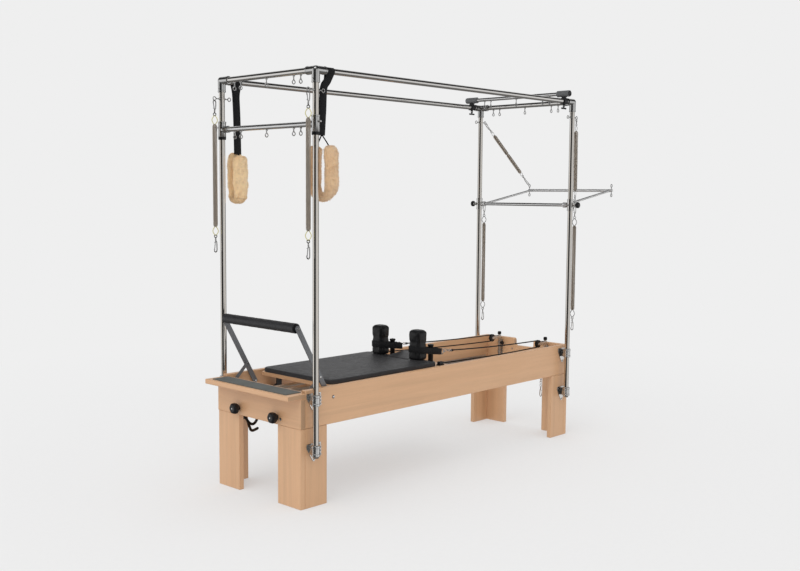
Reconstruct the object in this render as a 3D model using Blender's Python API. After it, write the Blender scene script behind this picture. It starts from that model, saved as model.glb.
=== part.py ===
"""Combo pilates reformer: a wooden reformer bed with a sliding carriage under a tubular tower frame.

Metres, +Z up. X runs along the bed from the foot end (low X) to the head end, Y across it.
The near side is low Y. The origin is on the floor, below the middle of the overall box.
Stations along the bed are measured from the outer face of the foot end board and moved by along().
"""

import math

import bmesh
import bpy
from mathutils import Matrix, Vector

# Clearances
GAP = 0.0003
BORE_GAP = 0.0005
SLIDE_GAP = 0.0006

# Bed
BED_LENGTH = 2.408
BED_WIDTH = 0.700
BOARD = 0.030
RAIL_TOP = 0.624
RAIL_DEPTH = 0.200
RAIL_BOTTOM = RAIL_TOP - RAIL_DEPTH
INNER_FACE = BED_WIDTH / 2 - BOARD
LEG_ACROSS = 0.185
LEG_ALONG = 0.182
HEAD_DIP_HALF = 0.082
HEAD_DIP_DEPTH = 0.052
HEAD_DIP_RADIUS = 0.016
WOOD_EDGE = 0.0025

# Standing platform over the foot end
APRON_FRONT = -0.003
APRON_HALF_WIDTH = BED_WIDTH / 2 + 0.003
PLATFORM_OVERHANG = 0.090
PLATFORM_HALF_WIDTH = APRON_HALF_WIDTH
PLATFORM_BACK = 0.056
PLATFORM_THICKNESS = 0.026
PLATFORM_DROP = 0.014
MAT_FRONT = -0.070
MAT_BACK = 0.036
MAT_HALF_WIDTH = BED_WIDTH / 2 - 0.036
MAT_THICKNESS = 0.0035

# Carriage track
TRACK_START = 0.200
TRACK_END = 2.350
TRACK_TOP = 0.465
TRACK_LEDGE = 0.050
TRACK_WALL = 0.003
TRACK_PLATE = 0.008
TRACK_LIP = 0.006
TRACK_WEB = 0.018

# Carriage
DECK_FRONT = 0.262
DECK_BACK = 1.225
DECK_HALF_WIDTH = INNER_FACE - 0.020
DECK_TOP = 0.617
DECK_THICKNESS = 0.022
PAD_BACK = 1.128
PAD_NOTCH = 1.062
PAD_HALF_WIDTH = DECK_HALF_WIDTH - 0.006
PAD_THICKNESS = 0.028
PAD_CORNER = 0.040
WHEEL_STATIONS = (0.370, 1.120)
WHEEL_RADIUS = 0.035
WHEEL_WIDTH = 0.018
WHEEL_INNER_Y = INNER_FACE - 0.0455
AXLE_RADIUS = 0.005
FORK_PLATE = 0.006
FORK_HALF = 0.020
HEADREST_HINGE = 1.068
HEADREST_LENGTH = 0.186
HEADREST_HALF_WIDTH = 0.098
HEADREST_FRONT_LEAN = 0.010
NOTCH_GAP = 0.004
HEADREST_THICKNESS = 0.026
HEADREST_TILT = math.radians(6.0)
REST_STATION = 1.096
REST_Y = 0.157
REST_HALF_DEPTH = 0.041
REST_HALF_WIDTH = 0.050
REST_HEIGHT = 0.180
REST_CORNER = 0.026
PEG_STATION = 1.208
PEG_Y = 0.162
PEG_RADIUS = 0.016
PEG_HEIGHT = 0.104
CLEAT_BACK = 1.186
CLEAT_LENGTH = 0.048
CLEAT_Y = 0.281
CLEAT_HALF = 0.013
CLEAT_HEIGHT = 0.022

# Carriage springs and their bar
SPRING_BAR_STATION = 0.120
SPRING_BAR_HALF = 0.014
SPRING_BAR_Z = 0.545
SPRING_BAR_HALF_HEIGHT = 0.010
SPRING_PLATE = 0.003
SPRING_YS = (-0.15, -0.05, 0.05, 0.15)
CARRIAGE_SPRING_RADIUS = 0.0115
SPRING_HANGER_STATION = 0.760
SPRING_HANGER = 0.014
HOOK_STATION = 0.150
HOOK_PRONG_RADIUS = 0.0080
HOOK_ROUTES = (
    ((0.007, 0.382), (0.030, 0.352), (0.058, 0.336), (0.085, 0.336), (0.108, 0.352), (0.128, 0.378)),
    ((0.034, 0.349), (0.052, 0.318), (0.064, 0.301), (0.080, 0.298), (0.105, 0.308), (0.132, 0.322)))

# Footbar
FOOTBAR_PIVOT = (0.227, 0.567)
FOOTBAR_TOP = (0.0135, 0.945)
FOOTBAR_ARM_Y = INNER_FACE - 0.012
FOOTBAR_ARM_THICKNESS = 0.008
FOOTBAR_ARM_HALF = 0.0145
FOOTBAR_ROLLER_RADIUS = 0.0265
FOOTBAR_ROLLER_HALF = FOOTBAR_ARM_Y - 0.0065
FOOTBAR_TUBE_RADIUS = 0.0125
FOOTBAR_PIN_RADIUS = 0.005
FOOTBAR_HEAD_RADIUS = 0.009
STRUT_PIVOT = (0.166, 0.675)
STRUT_FOOT = (0.066, 0.575)
STRUT_HALF = 0.010
STRUT_THICKNESS = 0.005
STRUT_ROD_RADIUS = 0.005
STRUT_PIN_RADIUS = 0.004

# Ropes, risers and pulleys
RISER_STATION = 2.356
RISER_Y = 0.200
RISER_RADIUS = 0.008
RISER_BOTTOM = 0.480
RISER_TOP = 0.648
PULLEY_STATION = 2.270
PULLEY_Z = 0.624
PULLEY_RADIUS = 0.0265
PULLEY_GROOVE = 0.018
PULLEY_WIDTH = 0.0155
GROOVE_WIDTH = 0.0095
ROPE_RADIUS = 0.004
PULLEY_PIN_RADIUS = 0.004
FORK_SIDE = 0.0025
ROPE_START = 1.380
ROPE_START_Z = 0.676
ROPE_START_Y = 0.195
ROPE_SAG = 0.006

# Hand straps round the shoulder rests
STRAP_THICKNESS = 0.003
STRAP_LOW = 0.690
STRAP_HIGH = 0.728
STRAP_FALL = 0.030
STRAP_TAIL_STATION = 1.272
CLIP_RING_STATION = 1.280
CLIP_RING_RADIUS = 0.013
WIRE = 0.0022

# Tower
TUBE_RADIUS = 0.016
POLE_FOOT_STATION = 0.067
POLE_INSET_HEAD = 0.067
POLE_Y = BED_WIDTH / 2 + 0.040
TOWER_TOP = 2.255
POLE_BOTTOM = 0.272
FITTING_RADIUS = TUBE_RADIUS + 0.0055
FITTING_REACH = 0.064
CLAMP_RADIUS = TUBE_RADIUS + 0.0075
CLAMP_HEIGHT = 0.058
CLAMP_UPPER = 0.575
CLAMP_LOWER = 0.311
CLAMP_BLOCK_HALF = 0.015
PLATE_THICKNESS = 0.003
PLATE_HALF = 0.050
PLATE_TIP_DROP = 0.066
PLATE_TIP_RADIUS = 0.009
PLATE_SHIFT = {"foot": 0.020, "head": 0.0}

# Eye bolts
EYE_RING = 0.0095
EYE_WIRE = 0.0022
EYE_STUD = 0.003
EYE_DROP = 0.050
EYE_OUTER, EYE_INNER = POLE_Y - 0.115, POLE_Y - 0.170
EYE_YS = (-EYE_OUTER, -EYE_INNER, 0.0, EYE_INNER, EYE_OUTER)
POLE_EYE_Z = TOWER_TOP - 0.100
POLE_EYE_OUT = 0.050

# Sliding cross bar on the foot poles
LOW_BAR_Z = TOWER_TOP - 0.268
LOW_BAR_RADIUS = 0.0145
SLEEVE_RADIUS = TUBE_RADIUS + 0.0055
LOW_SLEEVE_BELOW = 0.056
LOW_SLEEVE_ABOVE = 0.044
SOCKET_RADIUS = 0.0185
PULL_PIN_RADIUS = 0.006
PULL_PIN_LENGTH = 0.022
KNOB_BOSS_START = TUBE_RADIUS + 0.002

# Slider bar on the long tubes
SLIDER_STATION = 2.240
SLIDER_Z = TOWER_TOP + 0.048
SLIDER_RADIUS = 0.0125
SLIDER_CAP_RADIUS = 0.021
SLIDER_CAP_HALF = 0.048
SLIDER_CAP_Y = POLE_Y - 0.002
SLIDER_CLAMP_RADIUS = TUBE_RADIUS + 0.0075
SLIDER_CLAMP_HALF = 0.018
SLIDER_NECK_HALF = 0.012
T_KNOB_STUD = 0.004
T_KNOB_LENGTH = 0.030
T_KNOB_HALF = 0.024
T_KNOB_BAR_RADIUS = 0.005

# Push-through bar
PTB_Z = TOWER_TOP - 0.680
PTB_SLEEVE_HALF = 0.040
PTB_TUBE_RADIUS = 0.011
PTB_COLLAR_Y = POLE_Y - 0.055
PTB_COLLAR_LENGTH = 0.024
PTB_COLLAR_RADIUS = 0.018
PTB_REACH = 0.560
PTB_RISE = 0.101
PTB_ARM_RADIUS = 0.0075
PTB_END_RADIUS = 0.010
PTB_END_HALF = POLE_Y - 0.024
PTB_EYE_OFFSET = 0.034
PTB_EYE_Y = POLE_Y - 0.032
PTB_SIDE_EYE_OUT = 0.055
PTB_KNOB_RADIUS = 0.020
PTB_KNOB_STUD = 0.006
PTB_KNOB_NEAR_FACE = TUBE_RADIUS + 0.028
PTB_KNOB_LENGTH = 0.026

# Knobs on the foot end board
END_KNOB_Y = 0.163
END_KNOB_Z = 0.464
END_KNOB_RADIUS = 0.0310
END_KNOB_LOBE = 0.0022
END_KNOB_LOBES = 6
END_KNOB_LENGTH = 0.030
END_KNOB_STANDOFF = 0.018
END_KNOB_BOLT = 0.006
END_KNOB_TAIL = 0.016

# Hanging springs
COIL_RADIUS = 0.0125
COIL_NECK = 0.005
COIL_TAPER = 0.012
LINK_RING = 0.0085
LINK_WIRE = 0.0020
LOOP_RING = 0.0155
LOOP_WIRE = 0.0022
FOOT_COIL_TOP = TOWER_TOP - 0.240
FOOT_COIL_BOTTOM = TOWER_TOP - 0.807
FOOT_HOOK_BOTTOM = TOWER_TOP - 0.950
HEAD_COIL_TOP = PTB_Z - 0.138
HEAD_COIL_BOTTOM = PTB_Z - 0.713
HEAD_HOOK_BOTTOM = PTB_Z - 0.851
UPPER_COIL_LENGTH = 0.400

# Fuzzy loops on the long tubes: a strap round the tube, and a U of sheepskin whose mouth is tied to the strap
LOOP_TUBE_STATION = {"near": 0.157, "far": 0.1635}
LOOP_STATION = {"near": 0.129, "far": 0.1635}
LOOP_WRAP_HALF = {"near": 0.025, "far": 0.031}
LOOP_STRAP_HALF = 0.025
LOOP_STRAP_THICKNESS = 0.003
LOOP_STRAP_SPARE = {"near": 0.050, "far": -0.010}
LOOP_SHIFT = {"near": 0.008, "far": 0.0}
LOOP_SINK = {"near": 0.0, "far": 0.017}
LOOP_TOP = TOWER_TOP - 0.375
LOOP_BOTTOM = TOWER_TOP - 0.658
LOOP_HALF_WIDTH = {"near": 0.044, "far": 0.049}
LOOP_THICKNESS = {"near": 0.040, "far": 0.032}
LOOP_SPREAD = {"near": 0.132, "far": 0.050}
LOOP_DRIFT = {"near": 0.024, "far": -0.012}
LOOP_STRAP_BOW = {"near": 0.011, "far": 0.0}
LOOP_TIE_RADIUS = 0.005

PTB_END_STATION = BED_LENGTH - POLE_INSET_HEAD + PTB_REACH
X_SHIFT = -(PTB_END_STATION + PTB_END_RADIUS - PLATFORM_OVERHANG) / 2
POLE_HEAD_STATION = BED_LENGTH - POLE_INSET_HEAD
PLATFORM_TOP = RAIL_TOP - PLATFORM_DROP
PLATFORM_UNDER = PLATFORM_TOP - PLATFORM_THICKNESS
DECK_UNDER = DECK_TOP - DECK_THICKNESS
PAD_TOP = DECK_TOP + GAP + PAD_THICKNESS
ROPE_WRAP_STEPS = 7
ROPE_TURN = (PULLEY_GROOVE + GAP + ROPE_RADIUS) / math.cos(math.pi / ROPE_WRAP_STEPS / 2)
SIDES = (("near", -1), ("far", 1))

ROUND = 12
SMALL_ROUND = 6
UP = Vector((0, 0, 1))
ALONG = Vector((1, 0, 0))
ACROSS = Vector((0, 1, 0))


def along(station):
    """World X of a station measured from the foot end board."""
    return station + X_SHIFT


def at(station, y, z):
    return Vector((along(station), y, z))


# Shapes added to a bmesh, each one closed shell


def add_box(bm, low, high):
    low, high = Vector(low), Vector(high)
    made = bmesh.ops.create_cube(bm, size=1)["verts"]
    bmesh.ops.scale(bm, vec=high - low, verts=made)
    bmesh.ops.translate(bm, vec=(low + high) / 2, verts=made)


def add_rod(bm, start, end, radius, sides=ROUND, end_radius=None):
    start, end = Vector(start), Vector(end)
    run = end - start
    turn = UP.rotation_difference(run).to_matrix().to_4x4()
    bmesh.ops.create_cone(
        bm, cap_ends=True, segments=sides, radius1=radius,
        radius2=radius if end_radius is None else end_radius, depth=run.length,
        matrix=Matrix.Translation((start + end) / 2) @ turn)


def add_loops(bm, loops, closed):
    """Skin a list of equal rings of points; closed joins the last to the first, else the ends are capped."""
    rings = [[bm.verts.new(p) for p in loop] for loop in loops]
    count = len(rings[0])
    pairs = list(zip(rings, rings[1:]))
    if closed:
        pairs.append((rings[-1], rings[0]))
    for a, b in pairs:
        for i in range(count):
            j = (i + 1) % count
            bm.faces.new((a[i], a[j], b[j], b[i]))
    if not closed:
        bm.faces.new(rings[0][::-1])
        bm.faces.new(rings[-1])


def circle(centre, u, v, radius, sides):
    steps = [2 * math.pi * (i + 0.5) / sides for i in range(sides)]
    return [centre + u * (radius * math.cos(a)) + v * (radius * math.sin(a)) for a in steps]


def frame_for(direction):
    """Two unit vectors square to a direction, so that u, v, direction are right-handed."""
    helper = UP if abs(direction.z) < 0.9 else ALONG
    u = helper.cross(direction).normalized()
    return u, direction.cross(u).normalized()


def add_turned(bm, start, direction, profile, sides=ROUND):
    """Revolve (distance, radius) pairs about a line; both ends are capped."""
    direction = Vector(direction).normalized()
    u, v = frame_for(direction)
    add_loops(bm, [circle(Vector(start) + direction * d, u, v, r, sides) for d, r in profile], closed=False)


def add_ring(bm, centre, axis, radius, wire, steps=8, sides=4, stretch=None):
    """A wire ring about an axis; stretch moves the half of the ring on its positive side by that vector."""
    centre, axis = Vector(centre), Vector(axis).normalized()
    u, v = frame_for(axis)
    loops = []
    for i in range(steps):
        a = 2 * math.pi * (i + 0.5) / steps
        out = u * math.cos(a) + v * math.sin(a)
        shift = Vector(stretch) if stretch and out.dot(Vector(stretch)) > 0 else Vector()
        loops.append(circle(centre + shift + out * radius, out, axis, wire, sides)[::-1])
    add_loops(bm, loops, closed=True)


def add_sweep(bm, points, radius, sides=SMALL_ROUND):
    """A rod bent through points."""
    points = [Vector(p) for p in points]
    loops = []
    u = None
    for i, point in enumerate(points):
        before = points[max(i - 1, 0)]
        after = points[min(i + 1, len(points) - 1)]
        direction = (after - before).normalized()
        if u is None:
            u, v = frame_for(direction)
        u = (u - direction * u.dot(direction)).normalized()
        v = direction.cross(u)
        loops.append(circle(point, u, v, radius, sides))
    add_loops(bm, loops, closed=False)


def add_prism(bm, outline, direction, low, high):
    """Extrude an outline of two coordinates along X (outline y, z), Y (outline x, z) or Z (outline x, y)."""
    def point(a, b, c):
        return {"X": (c, a, b), "Y": (a, c, b), "Z": (a, b, c)}[direction]
    add_loops(bm, [[point(a, b, c) for a, b in outline] for c in (low, high)], closed=False)


def arc(centre, radius, start, end, steps):
    """Points of an arc in degrees."""
    turns = [math.radians(start + (end - start) * i / steps) for i in range(steps + 1)]
    return [(centre[0] + radius * math.cos(t), centre[1] + radius * math.sin(t)) for t in turns]


def rounded_box_outline(low_a, high_a, low_b, high_b, radius, steps=3):
    points = []
    for ca, cb, start in ((high_a - radius, low_b + radius, -90), (high_a - radius, high_b - radius, 0),
                          (low_a + radius, high_b - radius, 90), (low_a + radius, low_b + radius, 180)):
        points += arc((ca, cb), radius, start, start + 90, steps)
    return points


# Objects

BODIES = {}
MATERIALS = {}


def material(name, colour, roughness, metallic=0.0):
    mat = bpy.data.materials.new(name)
    mat.use_nodes = True
    shader = mat.node_tree.nodes["Principled BSDF"]
    shader.inputs["Base Color"].default_value = (*colour, 1.0)
    shader.inputs["Roughness"].default_value = roughness
    shader.inputs["Metallic"].default_value = metallic
    MATERIALS[name] = mat


def body(name, pivot, parent=None):
    """An empty on a joint axis, which carries the pieces of one moving body."""
    empty = bpy.data.objects.new(name + "_axis", None)
    bpy.context.scene.collection.objects.link(empty)
    origin = BODIES[parent][1] if parent else Vector()
    empty.parent = BODIES[parent][0] if parent else None
    empty.location = Vector(pivot) - origin
    BODIES[name] = (empty, Vector(pivot))


def to_object(name, bm):
    bmesh.ops.recalc_face_normals(bm, faces=bm.faces)
    mesh = bpy.data.meshes.new(name)
    bm.to_mesh(mesh)
    bm.free()
    obj = bpy.data.objects.new(name, mesh)
    bpy.context.scene.collection.objects.link(obj)
    return obj


def piece(name, bm, finish, carrier=None):
    """One sub-part, in world coordinates, hung on its body's empty with its origin on the joint axis."""
    obj = to_object(name, bm)
    obj.data.materials.append(MATERIALS[finish])
    obj.data.shade_smooth()
    obj.data.set_sharp_from_angle(angle=math.radians(35))
    if carrier:
        empty, pivot = BODIES[carrier]
        obj.data.transform(Matrix.Translation(-pivot))
        obj.parent = empty
    return obj


def tool(name, bm):
    obj = to_object(name, bm)
    obj.hide_render = True
    obj.display_type = "WIRE"
    return obj


def boolean(obj, operation, build):
    """Join or cut with the shapes that build adds to a bmesh; they don't touch one another."""
    bm = bmesh.new()
    build(bm)
    modifier = obj.modifiers.new(operation.lower(), "BOOLEAN")
    modifier.operation = operation
    modifier.solver = "EXACT"
    modifier.object = tool(f"{obj.name}_{operation.lower()}_{len(obj.modifiers)}", bm)


def ease_edges(obj, width=WOOD_EDGE):
    modifier = obj.modifiers.new("eased_edges", "BEVEL")
    modifier.width = width
    modifier.segments = 1
    modifier.limit_method = "ANGLE"
    modifier.angle_limit = math.radians(40)


def add_eyes(obj, spots, out, reach, start):
    """Eye bolts: a stud from the tube's surface and a ring at its end, for each spot, along direction out."""
    out = Vector(out)
    ring_axis = ACROSS if abs(out.y) < 0.5 else ALONG

    def studs(bm):
        for spot in spots:
            end = spot + out * (reach - EYE_RING + EYE_WIRE * 0.5)
            add_rod(bm, spot + out * (start - 0.004), end, EYE_STUD, 4)

    def rings(bm):
        for spot in spots:
            add_ring(bm, spot + out * reach, ring_axis, EYE_RING, EYE_WIRE)

    boolean(obj, "UNION", studs)
    boolean(obj, "UNION", rings)


# Wooden bed


def foot_end_board():
    bm = bmesh.new()
    add_box(bm, at(APRON_FRONT, -APRON_HALF_WIDTH, RAIL_BOTTOM),
            at(BOARD, APRON_HALF_WIDTH, PLATFORM_UNDER - GAP))
    board = piece("foot_end_board", bm, "beech")
    ease_edges(board)

    def holes(bm):
        for _, side in SIDES:
            y, radius = side * END_KNOB_Y, END_KNOB_BOLT + BORE_GAP
            add_rod(bm, at(APRON_FRONT - 0.01, y, END_KNOB_Z), at(BOARD + 0.01, y, END_KNOB_Z), radius, 12)

    boolean(board, "DIFFERENCE", holes)


def head_end_board():
    half, dip, r = BED_WIDTH / 2, HEAD_DIP_HALF, HEAD_DIP_RADIUS
    low = RAIL_TOP - HEAD_DIP_DEPTH
    right = arc((dip + r, RAIL_TOP - r), r, 90, 180, 3) + arc((dip - r, low + r), r, 0, -90, 3)
    left = [(-y, z) for y, z in reversed(right)]
    outline = [(-half, RAIL_BOTTOM), (half, RAIL_BOTTOM), (half, RAIL_TOP)] + right + left
    outline.append((-half, RAIL_TOP))
    bm = bmesh.new()
    add_prism(bm, outline, "X", along(BED_LENGTH - BOARD), along(BED_LENGTH))
    ease_edges(piece("head_end_board", bm, "beech"))


def rail(side_name, side):
    bm = bmesh.new()
    add_box(bm, at(BOARD + GAP, side * INNER_FACE, RAIL_BOTTOM),
            at(BED_LENGTH - BOARD - GAP, side * BED_WIDTH / 2, RAIL_TOP))
    obj = piece(f"rail_{side_name}", bm, "beech")
    ease_edges(obj)

    def pin_hole(bm):
        x, z = FOOTBAR_PIVOT
        add_rod(bm, at(x, side * (INNER_FACE - 0.01), z), at(x, side * (BED_WIDTH / 2 + 0.01), z),
                FOOTBAR_PIN_RADIUS + BORE_GAP, 12)

    boolean(obj, "DIFFERENCE", pin_hole)


def track(side_name, side):
    """A ledge with a lip that the carriage wheels run on, and a web screwed to the rail."""
    wall = INNER_FACE - GAP
    web = wall - TRACK_WALL
    edge = wall - TRACK_LEDGE
    under = TRACK_TOP - TRACK_PLATE
    outline = [(wall, under - TRACK_WEB), (wall, TRACK_TOP + TRACK_WEB), (web, TRACK_TOP + TRACK_WEB),
               (web, TRACK_TOP), (edge + TRACK_WALL, TRACK_TOP), (edge + TRACK_WALL, TRACK_TOP + TRACK_LIP),
               (edge, TRACK_TOP + TRACK_LIP), (edge, under), (web, under), (web, under - TRACK_WEB)]
    bm = bmesh.new()
    add_prism(bm, [(side * y, z) for y, z in outline], "X", along(TRACK_START), along(TRACK_END))
    piece(f"track_{side_name}", bm, "aluminium")


def leg(end_name, side_name, side):
    """Two boards in an L: one across the bed's end and one under the rail."""
    half = BED_WIDTH / 2
    outline = [(0, half - LEG_ACROSS), (BOARD, half - LEG_ACROSS), (BOARD, half - BOARD),
               (LEG_ALONG, half - BOARD), (LEG_ALONG, half), (0, half)]
    if end_name == "head":
        outline = [(BED_LENGTH - x, y) for x, y in outline]
    bm = bmesh.new()
    add_prism(bm, [(along(x), side * y) for x, y in outline], "Z", 0.0, RAIL_BOTTOM - GAP)
    ease_edges(piece(f"leg_{end_name}_{side_name}", bm, "beech"))


def platform():
    wide, narrow = PLATFORM_HALF_WIDTH, INNER_FACE - GAP
    outline = [(-PLATFORM_OVERHANG, -wide), (BOARD, -wide), (BOARD, -narrow), (PLATFORM_BACK, -narrow),
               (PLATFORM_BACK, narrow), (BOARD, narrow), (BOARD, wide), (-PLATFORM_OVERHANG, wide)]
    bm = bmesh.new()
    add_prism(bm, [(along(x), y) for x, y in outline], "Z", PLATFORM_UNDER, PLATFORM_TOP)
    ease_edges(piece("standing_platform", bm, "beech"))
    bm = bmesh.new()
    outline = rounded_box_outline(along(MAT_FRONT), along(MAT_BACK), -MAT_HALF_WIDTH, MAT_HALF_WIDTH, 0.008)
    add_prism(bm, outline, "Z", PLATFORM_TOP + GAP, PLATFORM_TOP + GAP + MAT_THICKNESS)
    piece("platform_mat", bm, "grey_rubber")


def end_knob(side_name, side):
    """A lobed hand knob on a bolt that goes through the foot end board."""
    spot = at(APRON_FRONT, side * END_KNOB_Y, END_KNOB_Z)
    name = f"end_knob_{side_name}"
    body(name, spot)
    points = 3 * END_KNOB_LOBES

    def lobed(scale):
        outline = []
        for i in range(points):
            t = 2 * math.pi * i / points
            r = scale * (END_KNOB_RADIUS - END_KNOB_LOBE * (1 - math.cos(END_KNOB_LOBES * t)) / 2)
            outline.append((spot.y + r * math.cos(t), spot.z + r * math.sin(t)))
        return outline

    bm = bmesh.new()
    face = -END_KNOB_STANDOFF
    sections = ((face, 0.90), (face - 0.004, 1.0), (face - END_KNOB_LENGTH + 0.008, 1.0),
                (face - END_KNOB_LENGTH, 0.72))
    add_loops(bm, [[(spot.x + x, y, z) for y, z in lobed(scale)] for x, scale in sections], closed=False)
    knob = piece(name, bm, "black_plastic", name)

    def bolt(bm):
        add_turned(bm, at(APRON_FRONT + face - 0.006, spot.y, spot.z), ALONG,
                   [(0, 0.012), (-face + 0.0045, 0.012), (-face + 0.0045, END_KNOB_BOLT),
                    (-face + 0.006 - APRON_FRONT + BOARD + END_KNOB_TAIL, END_KNOB_BOLT)], 12)

    boolean(knob, "UNION", bolt)


# Spring bar, its end plates and the hooks below


def spring_bar():
    """Cross bar for the carriage springs between two plates, which also carry the footbar strut's rod."""
    wall = INNER_FACE - GAP
    x, z = STRUT_FOOT
    seat = z - STRUT_ROD_RADIUS - GAP
    stop = x - STRUT_ROD_RADIUS - GAP
    low = SPRING_BAR_Z - 0.045
    front, high = BOARD + 0.004, PLATFORM_UNDER - 0.004
    outline = [(front, low), (0.170, low), (0.170, seat), (stop, seat), (stop, high), (front, high)]
    bm = bmesh.new()
    add_box(bm, at(SPRING_BAR_STATION - SPRING_BAR_HALF, -wall + SPRING_PLATE * 0.5,
                   SPRING_BAR_Z - SPRING_BAR_HALF_HEIGHT),
            at(SPRING_BAR_STATION + SPRING_BAR_HALF, wall - SPRING_PLATE * 0.5,
               SPRING_BAR_Z + SPRING_BAR_HALF_HEIGHT))
    bar = piece("spring_bar", bm, "black_steel")

    def plates(bm):
        for _, side in SIDES:
            add_prism(bm, [(along(a), b) for a, b in outline], "Y", side * (wall - SPRING_PLATE), side * wall)

    def hook_strip(bm):
        add_box(bm, at(HOOK_STATION - 0.015, wall - SPRING_PLATE - 0.002, 0.352),
                at(HOOK_STATION + 0.015, wall, low + 0.02))

    def prong(route):
        def build(bm):
            add_sweep(bm, [at(HOOK_STATION, wall - inset, z) for inset, z in route], HOOK_PRONG_RADIUS)
        return build

    for build in (plates, hook_strip, prong(HOOK_ROUTES[0]), prong(HOOK_ROUTES[1])):
        boolean(bar, "UNION", build)


def carriage_springs():
    """Four close-wound springs between the spring bar and a hanger under the deck."""
    start = SPRING_BAR_STATION + SPRING_BAR_HALF + GAP
    bm = bmesh.new()
    add_box(bm, at(SPRING_HANGER_STATION, SPRING_YS[0] - 0.02, SPRING_BAR_Z - 0.012),
            at(SPRING_HANGER_STATION + SPRING_HANGER, SPRING_YS[-1] + 0.02, DECK_UNDER - GAP))
    springs = piece("carriage_springs", bm, "spring_steel", "carriage")

    def coils(bm):
        length = SPRING_HANGER_STATION + 0.004 - start
        for y in SPRING_YS:
            add_turned(bm, at(start, y, SPRING_BAR_Z), ALONG,
                       [(0, COIL_NECK), (0.020, CARRIAGE_SPRING_RADIUS),
                        (length - 0.020, CARRIAGE_SPRING_RADIUS), (length, COIL_NECK)], 8)

    boolean(springs, "UNION", coils)


# Footbar


def footbar():
    x0, z0 = FOOTBAR_PIVOT
    x1, z1 = FOOTBAR_TOP
    pivot, top = at(x0, 0, z0), at(x1, 0, z1)
    body("footbar", pivot)
    lean = math.degrees(math.atan2(z1 - z0, x1 - x0))
    r = FOOTBAR_ARM_HALF
    outline = arc((pivot.x, z0), r, lean + 90, lean + 270, 4) + arc((top.x, z1), r, lean - 90, lean + 90, 4)
    bm = bmesh.new()
    reach = ACROSS * (FOOTBAR_ARM_Y + 0.002)
    add_rod(bm, top - reach, top + reach, FOOTBAR_TUBE_RADIUS)
    frame = piece("footbar_frame", bm, "grey_steel", "footbar")

    def arms(bm):
        for _, side in SIDES:
            add_prism(bm, outline, "Y", side * FOOTBAR_ARM_Y, side * (FOOTBAR_ARM_Y + FOOTBAR_ARM_THICKNESS))

    def pins(bm):
        for _, side in SIDES:
            run = BED_WIDTH / 2 + GAP - FOOTBAR_ARM_Y
            add_turned(bm, at(x0, side * (FOOTBAR_ARM_Y + 0.002), z0), ACROSS * side,
                       [(0, FOOTBAR_PIN_RADIUS), (run - 0.002, FOOTBAR_PIN_RADIUS),
                        (run - 0.002, FOOTBAR_HEAD_RADIUS), (run + 0.001, FOOTBAR_HEAD_RADIUS),
                        (run + 0.004, FOOTBAR_HEAD_RADIUS * 0.6)], 10)

    def strut_holes(bm):
        x, z = STRUT_PIVOT
        for _, side in SIDES:
            add_rod(bm, at(x, side * (FOOTBAR_ARM_Y - 0.01), z),
                    at(x, side * (FOOTBAR_ARM_Y + FOOTBAR_ARM_THICKNESS + 0.01), z),
                    STRUT_PIN_RADIUS + BORE_GAP, 8)

    boolean(frame, "UNION", arms)
    boolean(frame, "UNION", pins)
    boolean(frame, "DIFFERENCE", strut_holes)

    bm = bmesh.new()
    length, wide = 2 * FOOTBAR_ROLLER_HALF, FOOTBAR_ROLLER_RADIUS
    add_turned(bm, top - ACROSS * FOOTBAR_ROLLER_HALF, ACROSS,
               [(0, wide - 0.004), (0.004, wide), (length - 0.004, wide), (length, wide - 0.004)], 16)
    roller = piece("footbar_roller", bm, "black_foam", "footbar")

    def bore(bm):
        reach = ACROSS * (FOOTBAR_ROLLER_HALF + 0.03)
        add_rod(bm, top - reach, top + reach, FOOTBAR_TUBE_RADIUS + BORE_GAP)

    boolean(roller, "DIFFERENCE", bore)


def footbar_strut():
    """Two bars hinged on the arms and joined by a rod, which stands on the plates' seats."""
    x0, z0 = STRUT_PIVOT
    x1, z1 = STRUT_FOOT
    pivot, foot = at(x0, 0, z0), at(x1, 0, z1)
    body("footbar_strut", pivot, "footbar")
    lean = math.degrees(math.atan2(z1 - z0, x1 - x0))
    r = STRUT_HALF
    outline = arc((pivot.x, z0), r, lean + 90, lean + 270, 4) + arc((foot.x, z1), r, lean - 90, lean + 90, 4)
    outer = FOOTBAR_ARM_Y - SLIDE_GAP
    bm = bmesh.new()
    reach = ACROSS * (INNER_FACE - 0.0012)
    add_rod(bm, foot - reach, foot + reach, STRUT_ROD_RADIUS, 8)
    strut = piece("footbar_strut", bm, "grey_steel", "footbar_strut")

    def bars(bm):
        for _, side in SIDES:
            add_prism(bm, outline, "Y", side * (outer - STRUT_THICKNESS), side * outer)

    def pins(bm):
        for _, side in SIDES:
            add_rod(bm, at(x0, side * (outer - 0.003), z0),
                    at(x0, side * (FOOTBAR_ARM_Y + FOOTBAR_ARM_THICKNESS - 0.001), z0), STRUT_PIN_RADIUS, 8)

    boolean(strut, "UNION", bars)
    boolean(strut, "UNION", pins)


# Carriage


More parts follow.
